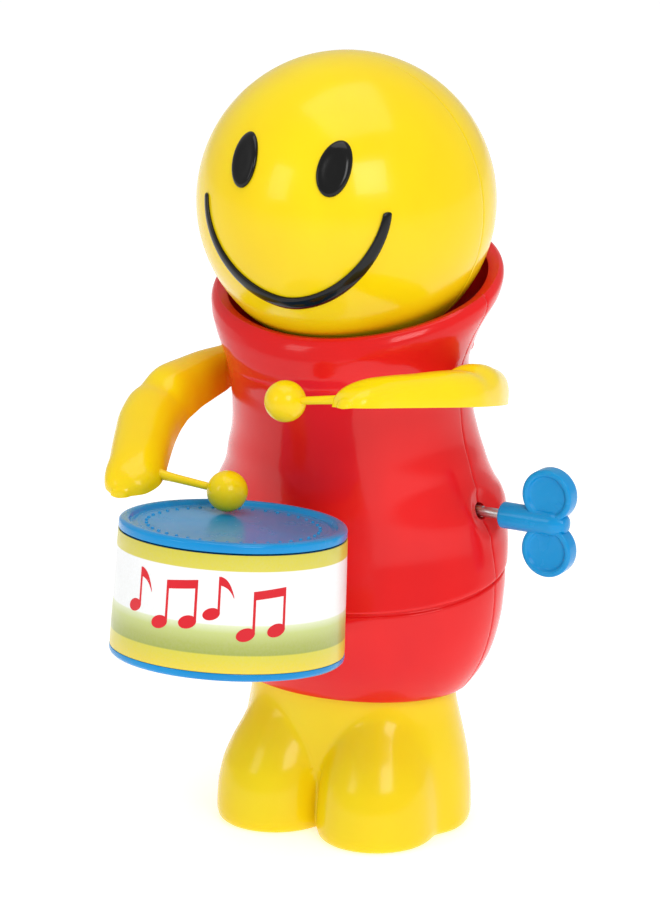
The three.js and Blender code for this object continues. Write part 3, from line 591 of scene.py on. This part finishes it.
def feet_ring(z, share, inset, sides=168):
    """The feet's outline at a share of the way from the floor (0) to the hips (1)."""
    turn = np.linspace(0, 2 * PI, sides, endpoint=False) + PI / sides
    width = mix(34.5, 29.5, share) - inset
    front = 1 / (1 + np.exp(np.sin(turn) * 9))
    depth = mix(mix(27, 20, front), 21.5, share) - inset
    base = width * depth / np.hypot(depth * np.cos(turn), width * np.sin(turn))
    toe = mix(16.6, 8, share) - inset
    side, forward = mix(16, 14, share), mix(15.6, 8, share)
    blend = 22
    reach = [base, *(ray_exit(turn, way * side, -forward, toe) for way in (-1, 1))]
    radius = sum(np.maximum(r, 1e-3) ** blend for r in reach) ** (1 / blend)
    return np.stack([radius * np.cos(turn), radius * np.sin(turn), np.full(sides, z)], axis=1)


def make_feet():
    top = feet_high[2] - 5 - 0.3
    marks = [0, 0.5, 1.4, 3.4, 9, 16, 22, 28, 34, top]
    insets = [2.2, 1.0, 0.35, 0, 0, 0, 0, 0, 0, 0]
    shares = [0.02, 0.02, 0.02, 0.02, 0.04, 0.13, 0.31, 0.56, 0.82, 1]
    fine = np.unique(np.concatenate([np.linspace(0, 3.4, 10), np.linspace(3.4, top, 44)]))
    levels = through(marks, np.stack([shares, insets], axis=1), fine)
    rings = [feet_ring(z, share, inset) for z, (share, inset) in zip(fine, levels)]
    rings += [feet_ring(top, 1, 0.7), feet_ring(top + 5, 1, 0.7)]
    rings += [feet_ring(top + 5, 1, 2.6), feet_ring(top - 6, 0.85, 2.8)]
    rings += [feet_ring(2.4, 0.02, 5)]
    made = loft("feet", rings)
    finish_piece(made, "toy_body", "yellow_plastic", "feet_base")


# ---------------------------------------------------------------- head


HEAD_COLUMNS, HEAD_ROWS = 120, 96
HEAD_WALL = 1.8
NECK_OPENING = 7.2
HEAD_SEAM_GAP = 0.04
EYE_SIDE, EYE_UP = 13, 16.4
EYE_HALF_WIDTH, EYE_HALF_HEIGHT = 4.2, 6.9
EYE_PROUD = 1.0


def head_place():
    return Matrix.Translation(HEAD_CENTRE) @ Matrix.Rotation(HEAD_TURNED, 4, "Z")


def head_half(name, way):
    """Half of the ball as a closed shell, with a round neck opening below."""
    turn = half_turn(HEAD_COLUMNS)
    edge = np.zeros(len(turn))
    edge[[0, -1]] = 0.14
    edge[[1, -2]] = 0.03
    low = -PI / 2 + math.asin(NECK_OPENING / HEAD_RADIUS)
    rise = np.linspace(low, PI / 2 - 1e-3, HEAD_ROWS)

    def ball_at(radius):
        x = radius * np.cos(rise)[:, None] * np.cos(turn)
        y = way * radius * np.cos(rise)[:, None] * np.sin(turn)
        z = radius * np.sin(rise)[:, None] * np.ones(len(turn))
        y = np.where(way * y < HEAD_SEAM_GAP, way * HEAD_SEAM_GAP, y)
        return np.stack([x, y, z], axis=2)

    outer, inner = ball_at(HEAD_RADIUS - edge), ball_at(np.full(len(turn), HEAD_RADIUS - HEAD_WALL))
    loop = np.concatenate([outer, inner[::-1]])
    count, total = len(turn), len(loop)
    faces = []
    for r in range(total):
        a, b = r * count, (r + 1) % total * count
        faces += [(a + i, a + i + 1, b + i + 1, b + i) for i in range(count - 1)]
    for i in (0, count - 1):
        for r in range(len(outer) - 1):
            far = total - 1 - r
            faces.append(tuple(row * count + i for row in (r, r + 1, far - 1, far)))
    return add_mesh(name, turned(loop.reshape(-1, 3), head_place()), faces, sharp=50)


def on_head(x, z, proud):
    """A point of the face, proud of the ball: x and z are across it and up it."""
    radius = HEAD_RADIUS + proud
    return np.stack([x, -np.sqrt(np.maximum(radius**2 - x**2 - z**2, 0)), z], axis=-1)


def face_dome(name, centre_x, centre_z, half_x, half_z, proud, sides=72, rows=14):
    """A raised oval with a rounded rim and a faintly hollow middle."""
    turn = np.linspace(0, 2 * PI, sides, endpoint=False)
    rings = []
    for share in [*np.linspace(0.05, 0.9, rows), 0.94, 0.97, 0.99, 1.0]:
        rim = math.sqrt(max(0, 1 - share**10))
        hollow = 0.35 * math.exp(-((share / 0.6) ** 4))
        x = centre_x + half_x * share * np.cos(turn)
        z = centre_z + half_z * share * np.sin(turn)
        rings.append(on_head(x, z, proud * rim - hollow))
    for share in (1.0, 0.5, 0.05):
        x = centre_x + half_x * share * np.cos(turn)
        z = centre_z + half_z * share * np.sin(turn)
        rings.append(on_head(x, z, -0.4))
    points, faces = skin(np.array(rings))
    return add_mesh(name, turned(points, head_place()), faces, sharp=50)


def make_mouth():
    """A raised stroke, thick in the middle and thin at its plain round ends."""
    half, top, deep, bend, proud = 26.4, 5.5, 26.2, 1.8, 1.05
    rings = []
    path = np.concatenate([[0, 0.004, 0.01, 0.02], np.linspace(0.035, PI - 0.035, 110)])
    path = np.concatenate([path, [PI - 0.02, PI - 0.01, PI - 0.004, PI]])
    for t in path:
        c, s = math.cos(t), math.sin(t)
        x = half * math.copysign(abs(c) ** (2 / bend), c)
        z = top - deep * abs(s) ** (2 / bend)
        along = min(t, PI - t) / 0.035
        end = math.sqrt(max(0.02, 1 - (1 - min(along, 1)) ** 2))
        thick = mix(1.7, 3.7, s) / 2 * end
        normal = np.array([c / half, -s / deep])
        normal /= np.linalg.norm(normal)
        across = np.sin(np.linspace(-PI / 2, PI / 2, 15))
        rim = np.sqrt(np.maximum(0, 1 - abs(across) ** 3)) * proud * mix(0.7, 1, s) * end
        upper = on_head(x + normal[0] * across * thick, z + normal[1] * across * thick, rim)
        back = across[::-1][1:-1]
        lower = on_head(x + normal[0] * back * thick, z + normal[1] * back * thick, -0.4)
        rings.append(np.concatenate([upper, lower]))
    points, faces = skin(np.array(rings))
    return add_mesh("mouth_stroke", turned(points, head_place()), faces, sharp=50)


def make_head():
    finish_piece(head_half("head_front", -1), "head", "yellow_plastic", "head_front_shell")
    finish_piece(head_half("head_rear", 1), "head", "yellow_plastic", "head_rear_shell")
    for name, way in (("eye_right", -1), ("eye_left", 1)):
        size = (EYE_HALF_WIDTH, EYE_HALF_HEIGHT)
        eye = face_dome(name + "_dome", way * EYE_SIDE, EYE_UP, *size, EYE_PROUD)
        finish_piece(eye, "head", "black_plastic", name)
    finish_piece(make_mouth(), "head", "black_plastic", "mouth")


# ---------------------------------------------------------------- arms

STICK_REACH = 61.9
BALL_BELOW = math.radians(4.59)
BALL_DROP = STICK_REACH * math.sin(BALL_BELOW)
BALL_SIDE = 9.8
BALL_RADIUS = 5.5
ARM_SPLAY = 0.1
ARM_WALL = 1.7
ARM_INSIDE = 36

# Outer edge of the rim (x outwards, u forwards), inner edge, and the height of the dome over them.
ARM_STATIONS = [
    (37, -4.6, 37, 12, 8),
    (40.6, -1.6, 37, 14.5, 8.8),
    (45, 5, 37.4, 17.5, 9.4),
    (49, 11, 38, 21.5, 9.8),
    (52, 18.5, 38.6, 26.5, 10),
    (54.2, 27.5, 38.6, 32, 10),
    (54.8, 36, 37.8, 37.5, 9.6),
    (53.2, 44.5, 36, 44, 9.2),
    (50, 52.5, 33.8, 50, 8.6),
    (46.8, 59.5, 31.4, 56, 8.2),
    (44, 65.5, 29.2, 61.5, 7.6),
    (42.4, 70.2, 28, 66.6, 6.4),
    (40.2, 73.8, 29, 71.2, 4.6),
    (37.4, 75.6, 32.2, 74.4, 2.4),
]
ELBOW = 5.6  # station of the crease between the upper arm and the forearm
RIM_DROP = 0.6  # the rim's plane under the ball's middle
HAND = (32.0, 64.0, 1.9)  # the stick's end in the hand: x, u and height over the rim
ARM_BOSS = 2.9  # round the arm's shaft, radius
ROWS_PER_STATION = 7


def rim_at(x):
    """Height of the rim's plane over the shoulder axis."""
    return -BALL_DROP - RIM_DROP + ARM_SPLAY * (x - BALL_SIDE)


def arm_ring(station, height_inset, edge_inset, steps=26):
    """One section's arch, from the outer rim edge over the top to the inner one."""
    ox, ou, ix, iu, height = station
    outer = np.array([ox, -ou, rim_at(ox)])
    inner = np.array([ix, -iu, rim_at(ix)])
    width = np.linalg.norm(inner - outer)
    way = (inner - outer) / width
    half = max(width / 2 - edge_inset, 0.05)
    t = np.linspace(0, PI, steps + 1)
    c = np.sign(np.cos(t)) * abs(np.cos(t)) ** 0.85
    up = max(height - height_inset, 0.05) * np.sin(t) ** 0.75
    arch = (outer + inner) / 2 - c[:, None] * half * way
    arch[:, 2] += up
    return arch


def arm_shell(name):
    """The hollow arm, open below, as one closed mesh with a rounded rim."""
    marks = np.arange(len(ARM_STATIONS))
    fine = np.linspace(0, marks[-1], marks[-1] * ROWS_PER_STATION + 1)
    rows = through(marks, ARM_STATIONS, fine)
    bulge = 0.1 * np.exp(-(((fine - ELBOW + 0.9) / 0.7) ** 2))
    crease = 0.08 * np.exp(-(((fine - ELBOW) / 0.4) ** 2))
    rows[:, 4] *= 1 + bulge - crease
    rings = []
    for row in rows:
        wall = min(ARM_WALL, row[4] * 0.4)
        inner = arm_ring(row, wall, wall)[::-1]
        rings.append(np.concatenate([arm_ring(row, 0, 0), inner]))
    return round_ends(name, rings)


def round_ends(name, rings, steps=6, reach=1.2):
    """Closes a loft with round ends in place of flat ones."""
    made = list(rings)
    for at_start, first, second in ((True, rings[0], rings[1]), (False, rings[-1], rings[-2])):
        middle = first.mean(axis=0)
        middle[2] = first[:, 2].min()
        out = first.mean(axis=0) - second.mean(axis=0)
        out[2] = 0
        out /= np.linalg.norm(out)
        caps = []
        for k in range(1, steps + 1):
            a = PI / 2 * k / steps
            shrink = max(math.cos(a), 0.04)
            caps.append(middle + (first - middle) * shrink + out * reach * math.sin(a))
        made = caps[::-1] + made if at_start else made + caps
    return loft(name, np.array(made), sharp=45)


def stick(name):
    """The drumstick that tapers from the hand to the ball, and the ball."""
    end = np.array([BALL_SIDE, -STICK_REACH * math.cos(BALL_BELOW), -BALL_DROP])
    hand = np.array([HAND[0], -HAND[1], rim_at(HAND[0]) + HAND[2]])
    way = Vector(hand - end)
    profile = through(
        [0, 0.3, 0.65, 0.82, 0.92, 1.0],
        [[1.0], [1.05], [1.15], [1.35], [1.65], [1.9]],
        np.linspace(0, 1, 24),
    )[:, 0]
    rings = lathe_rings([[r, way.length * k / 23] for k, r in enumerate(profile)], 28)
    place = Matrix.Translation(Vector(end)) @ way.to_track_quat("Z", "Y").to_matrix().to_4x4()
    bar = loft(name, turned(rings, place))
    knob = ball(name + "_ball", end, BALL_RADIUS, 56, 28)
    return bar, knob


def make_arm(side):
    """side is 1 for the toy's left arm and -1 for its right."""
    name = "left" if side > 0 else "right"
    bar, knob = stick(name + "_stick")
    shell = arm_shell(name + "_arm_moulding")
    boss = rod(name + "_boss", (ARM_INSIDE, 0, 0), (ARM_INSIDE + 3, 0, 0), ARM_BOSS)
    carve(shell, [bar, knob, boss], "UNION", sharp=45)
    turn = ARM_RAISED if side > 0 else ARM_RAISED - ARM_SWING
    place = Matrix.Translation((0, SHOULDER_BACK, SHOULDER)) @ Matrix.Rotation(-turn, 4, "X")
    flip = Matrix.Diagonal((side, 1, 1, 1))
    shell.data.transform(Matrix.Scale(MM, 4) @ place @ flip @ Matrix.Scale(1 / MM, 4))
    if side < 0:
        shell.data.flip_normals()
    smooth(shell.data, 45)
    finish_piece(shell, name + "_arm", "yellow_plastic", name + "_arm")


# ---------------------------------------------------------------- drum


DOTS = 40  # small beads in a ring on the lid
DOT_RADIUS = 0.5
DOT_RING = 0.76  # of the lid's radius
LABEL_THICK = 0.4


def drum_place():
    """The drum's own frame: its origin is the middle of the lid's rim."""
    middle = (lid_low + lid_high) / 2
    tilt = Matrix.Rotation(-DRUM_PITCH, 4, "X")
    return Matrix.Translation(middle) @ tilt @ Matrix.Translation((0, 0, LID_BAND / 2))


def drum_radius(depth):
    return DRUM_RADIUS + DRUM_SPREAD * depth / DRUM_HEIGHT


def make_drum():
    sides = 160
    foot = drum_radius(DRUM_HEIGHT)
    shell = rounded(
        [
            (0, -DRUM_HEIGHT + 0.9),
            (foot - 3.2, -DRUM_HEIGHT + 0.9),
            (foot - 2.6, -DRUM_HEIGHT),
            (foot - 0.7, -DRUM_HEIGHT),
            (foot, -DRUM_HEIGHT + 0.7, 0.5),
            (foot, -DRUM_HEIGHT + 2),
            (foot - 0.5, -DRUM_HEIGHT + 2.05, 0.1),
            (drum_radius(3.2) - 0.5, -3.3),
            (DRUM_RADIUS - 2.3, -3.1),
            (DRUM_RADIUS - 2.3, -2.4),
            (DRUM_RADIUS - 3.9, -2.4),
            (foot - 3.5, -DRUM_HEIGHT + 2.6),
            (0, -DRUM_HEIGHT + 2.6),
        ],
        0.25,
    )
    shell = loft("drum_case", turned(lathe_rings(shell, sides), drum_place()))
    finish_piece(shell, "toy_body", "blue_plastic", "drum_shell")
    ring = DRUM_RADIUS * 0.86
    lid = rounded(
        [
            (0, -1.25),
            (ring - 1.2, -1.25),
            (ring - 0.5, -0.95, 0.4),
            (ring + 0.5, -1.3, 0.4),
            (DRUM_RADIUS - 3.1, -1.35, 0.5),
            (DRUM_RADIUS - 2.5, -0.1, 0.6),
            (DRUM_RADIUS - 1.2, 0.05, 0.8),
            (DRUM_RADIUS, -0.5, 0.8),
            (DRUM_RADIUS + 0.02, -LID_BAND, 0.3),
            (DRUM_RADIUS - 2, -LID_BAND),
            (DRUM_RADIUS - 2, -2.1),
            (0, -2.1),
        ],
        0.25,
        6,
    )
    dots = []
    reach = DRUM_RADIUS * DOT_RING
    for i in range(DOTS):
        a = 2 * PI * i / DOTS
        spot = (reach * math.cos(a), reach * math.sin(a), -1.3)
        dots.append(ball("dot", spot, DOT_RADIUS, 16, 8))
    plate = loft("lid_plate", lathe_rings(lid, sides))
    lid = joined("drum_lid_moulding", [plate, *dots])
    place = Matrix.Scale(MM, 4) @ drum_place() @ Matrix.Scale(1 / MM, 4)
    lid.data.transform(place)
    finish_piece(lid, "toy_body", "blue_plastic", "drum_lid")
    make_label(sides)


def make_label(sides):
    low, high = -DRUM_HEIGHT + 2.15, -LID_BAND - 0.45
    levels = np.linspace(low, high, 30)
    outer = [[drum_radius(-z), z] for z in levels]
    outer[0][0] -= 0.05
    outer[-1][0] -= 0.05
    inner = [[drum_radius(-z) - LABEL_THICK, z] for z in levels[::-1]]
    rings = lathe_rings(outer + inner, sides)
    label = loft("label_sleeve", turned(rings, drum_place()), ring_to_ring=True, sharp=60)
    height = np.clip((rings.reshape(-1, 3)[:, 2] - low) / (high - low), 0, 1)
    given = label.data.attributes.new("label_height", "FLOAT", "POINT")
    given.data.foreach_set("value", height.astype(np.float32))
    finish_piece(label, "toy_body", "label_paper", "drum_label")


# Music notes printed on the label: angle round the drum, height of the note's head, size, and kind.
NOTES = [
    (-22, -19.6, 1.2, "single"),
    (-5, -22.4, 1.25, "pair"),
    (22, -18.6, 1.15, "single"),
    (39, -23.6, 1.25, "pair"),
]


def outline_note(kind):
    """Outlines of one printed note, as lists of [x, z] points, its head at the origin."""
    turn = np.linspace(0, 2 * PI, 28, endpoint=False)
    tilt = math.radians(20)
    oval = np.stack([2.0 * np.cos(turn), 1.35 * np.sin(turn)], axis=1)
    tip = np.array([[math.cos(tilt), -math.sin(tilt)], [math.sin(tilt), math.cos(tilt)]])
    oval = oval @ tip.T
    stem = np.array([[1.35, 0.2], [1.9, 0.2], [1.9, 8.6], [1.35, 8.6]])
    if kind == "pair":
        shift = np.array([6.4, 0.9])
        cuts = np.linspace(0, 1, 10)
        low = np.stack([1.35 + 6.95 * cuts, 7.2 + 0.9 * cuts], axis=1)
        high = low + np.array([0, 1.8])
        beams = [np.array([low[k], low[k + 1], high[k + 1], high[k]]) for k in range(9)]
        return [oval, oval + shift, stem, stem + shift, *beams]
    bow = np.linspace(0, 1, 9)
    upper = np.stack([1.9 + 3.0 * bow, 8.6 - 1.2 * bow - 3.2 * bow**3], axis=1)
    lower = np.stack([1.9 + 3.0 * bow, 6.6 - 0.9 * bow - 2.0 * bow**3], axis=1)
    return [oval, stem, np.concatenate([upper, lower[::-1]])]


def make_notes():
    """Thin printed shapes that lie on the label's surface."""
    parts = []
    for angle, low, size, kind in NOTES:
        for outline in outline_note(kind):
            flat = outline * size
            rings = []
            for proud in (-0.1, 0.05):
                z = low + flat[:, 1]
                radius = drum_radius(-z) + proud
                around = math.radians(angle - 90) + flat[:, 0] / DRUM_RADIUS
                rings.append(np.stack([radius * np.cos(around), radius * np.sin(around), z], axis=1))
            parts.append(note_slab(rings))
    notes = joined("printed_notes", parts)
    place = Matrix.Scale(MM, 4) @ drum_place() @ Matrix.Scale(1 / MM, 4)
    notes.data.transform(place)
    finish_piece(notes, "toy_body", None, look="red_ink")


def note_slab(rings):
    """A thin slab between two copies of an outline."""
    count = len(rings[0])
    points = np.concatenate(rings)
    faces = [(i, (i + 1) % count, count + (i + 1) % count, count + i) for i in range(count)]
    faces += [tuple(range(count)), tuple(range(count, 2 * count))[::-1]]
    return add_mesh("slab", points, faces, sharp=30)


# ---------------------------------------------------------------- key and winding shaft


def make_key():
    thick, wing = 4.6, 7.3
    start, end = key_low[0], key_high[0]
    wing_x = end - wing
    lift = wing + 0.3
    profile = rounded(
        [
            (0, -thick / 2 + 0.9),
            (wing - 2.1, -thick / 2 + 0.9, 0.5),
            (wing - 1.5, -thick / 2, 0.5),
            (wing, -thick / 2, 0.9),
            (wing, thick / 2, 0.9),
            (wing - 1.5, thick / 2, 0.5),
            (wing - 2.1, thick / 2 - 0.9, 0.5),
            (0, thick / 2 - 0.9),
        ],
        0.4,
        5,
    )
    upright = Matrix.Rotation(PI / 2, 4, "X")
    wings = []
    for way in (-1, 1):
        place = Matrix.Translation((wing_x, 0, KEY_HEIGHT + way * lift)) @ upright
        wings.append(loft("wing", turned(lathe_rings(profile, 72), place)))
    hub_radius = 3.6
    length = end - start
    hub = rounded(
        [
            (0, 0),
            (hub_radius, 0, 0.7),
            (hub_radius, length - 5, 2.5),
            (2.2, length - 2),
            (0, length - 1.6),
        ],
        0.6,
        6,
    )
    along = Matrix.Translation((start, 0, KEY_HEIGHT)) @ Matrix.Rotation(PI / 2, 4, "Y")
    made = loft("winding_key", turned(lathe_rings(hub, 64), along))
    carve(made, wings, "UNION", sharp=40)
    socket = rod("socket", (start - 1, 0, KEY_HEIGHT), (start + 9, 0, KEY_HEIGHT), 1.58)
    carve(made, [socket], sharp=40)
    finish_piece(made, "winding", "blue_plastic", "key")


def make_winding_shaft():
    low, high = node_box("winding_arbor")
    shaft = rod("winding_shaft", (low[0], 0, KEY_HEIGHT), (high[0], 0, KEY_HEIGHT), 1.5, sides=48)
    square = ((40, -3), (47, -3), (47, 3), (40, 3))
    flat = [[(x, y, KEY_HEIGHT + z) for x, y in square] for z in (1.15, 3)]
    under = [[(x, y, KEY_HEIGHT + z) for x, y in square] for z in (-3, -1.15)]
    carve(shaft, [loft("flat", flat), loft("under", under)], sharp=30)
    finish_piece(shaft, "winding", "steel", "winding_arbor")


# ---------------------------------------------------------------- screws and inner pieces


def make_screw(index):
    """A pan-head screw with a cross recess, seen down its hole in the back."""
    low, high = node_box(f"body_screw_{index}")
    x, z = (low[0] + high[0]) / 2, (low[2] + high[2]) / 2
    head = rounded([(0, 0), (2.7, 0, 0.2), (2.7, 0.9, 0.6), (1.6, 1.6, 0.8), (0, 1.75)], 0.3, 4)
    back = Matrix.Translation((x, high[1] - 1.75, z)) @ Matrix.Rotation(-PI / 2, 4, "X")
    made = loft("screw_head", turned(lathe_rings(head, 40), back))
    shank = rod("shank", (x, low[1], z), (x, high[1] - 1.7, z), 1.0, sides=24)
    carve(made, [shank], "UNION")
    blades = []
    for wide, tall in ((1.5, 0.3), (0.3, 1.5)):
        ends = [
            [
                (x + sx * wide * s, y, z + sz * tall * s)
                for sx, sz in ((-1, -1), (1, -1), (1, 1), (-1, 1))
            ]
            for y, s in ((high[1] - 1.1, 0.7), (high[1] + 1, 1.2))
        ]
        blades.append(loft("blade", ends))
    carve(made, blades, sharp=30)
    made.name = f"back_screw_{index}"
    finish_piece(made, "toy_body", "steel", f"body_screw_{index}")


def dress_inner_nodes():
    """Better materials for the CAD nodes that stay: the clockwork, links, bushes and posts."""
    by_slot = {}
    for row in frame["record"]["materials"]:
        for node in row.get("nodes", []):
            by_slot[node] = row["slot"]
    guess = {
        "nylon": ["left_shoulder_bush", "right_shoulder_bush", "neck_post", "neck_bearing", "air_brake"],
        "brass": ["great_wheel", "fast_wheel", "left_crank", "right_crank"],
        "spring_steel": ["mainspring"],
        "blue_plastic": ["drum_peg"],
    }
    named = {n: slot for slot, nodes in guess.items() for n in nodes}
    for name, node in frame["nodes"].items():
        slot = by_slot.get(name) or named.get(name, "steel")
        node.data.materials.clear()
        node.data.materials.append(MATERIALS[slot])
        for polygon in node.data.polygons:
            polygon.material_index = 0


# ---------------------------------------------------------------- floor, lights and camera


FLOOR_HALF = 4000
FLOOR_LEVEL = -0.02  # just under the feet
CAMERA_AZIMUTH, CAMERA_ELEVATION = math.radians(30), math.radians(15.9)
CAMERA_DISTANCE = 1200
CAMERA_TARGET = Vector((-5.69, -3.28, 104))


def make_floor():
    made, tree, shader = new_material("floor_paper")
    tint = ranged(tree, noise(tree, 6, 2), 0, 1)
    paper = blended(tree, tint, (0.96, 0.96, 0.96), (0.95, 0.95, 0.95))
    tree.links.new(paper, shader.inputs["Base Color"])
    shader.inputs["Roughness"].default_value = 0.6
    shader.inputs["Specular IOR Level"].default_value = 0.2
    shader.inputs["Emission Color"].default_value = (1, 1, 1, 1)
    shader.inputs["Emission Strength"].default_value = 0.45
    square = ((-1, -1), (1, -1), (1, 1), (-1, 1))
    corners = [(x * FLOOR_HALF, y * FLOOR_HALF, FLOOR_LEVEL) for x, y in square]
    mesh = bpy.data.meshes.new("floor")
    mesh.from_pydata([tuple(c * MM for c in p) for p in corners], [], [(0, 1, 2, 3)])
    mesh.materials.append(made)
    floor = bpy.data.objects.new("floor", mesh)
    bpy.context.scene.collection.objects.link(floor)


def soft_light(name, place, aim, size, power):
    """A rectangular soft box; place and aim are in millimetres."""
    data = bpy.data.lights.new(name, "AREA")
    data.shape = "RECTANGLE"
    data.size, data.size_y = (s * MM for s in size)
    data.energy = power
    made = bpy.data.objects.new(name, data)
    bpy.context.scene.collection.objects.link(made)
    made.location = Vector(place) * MM
    direction = Vector(aim) - Vector(place)
    made.rotation_euler = direction.to_track_quat("-Z", "Y").to_euler()


def make_lights():
    scene = bpy.context.scene
    world = bpy.data.worlds.new("studio")
    scene.world = world
    world.use_nodes = True
    background = world.node_tree.nodes["Background"]
    background.inputs["Color"].default_value = (1, 1, 1, 1)
    background.inputs["Strength"].default_value = 0.55
    centre = (0, -20, 110)
    soft_light("key_light", (820, -700, 760), centre, (520, 520), 4.4)
    soft_light("front_light", (-420, -900, 520), centre, (300, 420), 1.0)
    soft_light("top_light", (60, -60, 1000), centre, (700, 700), 2.6)


def make_camera():
    """The main view: 30 degrees to the toy's left and 15.9 degrees up."""
    azimuth, level = CAMERA_AZIMUTH, math.cos(CAMERA_ELEVATION)
    back = Vector((math.sin(azimuth) * level, -math.cos(azimuth) * level, math.sin(CAMERA_ELEVATION)))
    data = bpy.data.cameras.new("camera")
    data.sensor_fit = "VERTICAL"
    data.sensor_height = 36
    data.lens = 175.6
    data.clip_start, data.clip_end = 0.05, 20
    camera = bpy.data.objects.new("camera", data)
    bpy.context.scene.collection.objects.link(camera)
    camera.location = (CAMERA_TARGET + back * CAMERA_DISTANCE) * MM
    camera.rotation_euler = (-back).to_track_quat("-Z", "Y").to_euler()
    bpy.context.scene.camera = camera


make_camera()
make_floor()
make_lights()
dress_inner_nodes()
make_body()
make_feet()
make_head()
make_arm(1)
make_arm(-1)
make_drum()
make_notes()
make_key()
make_winding_shaft()
for screw in range(1, 5):
    make_screw(screw)
bpy.context.scene.view_settings.view_transform = "Standard"
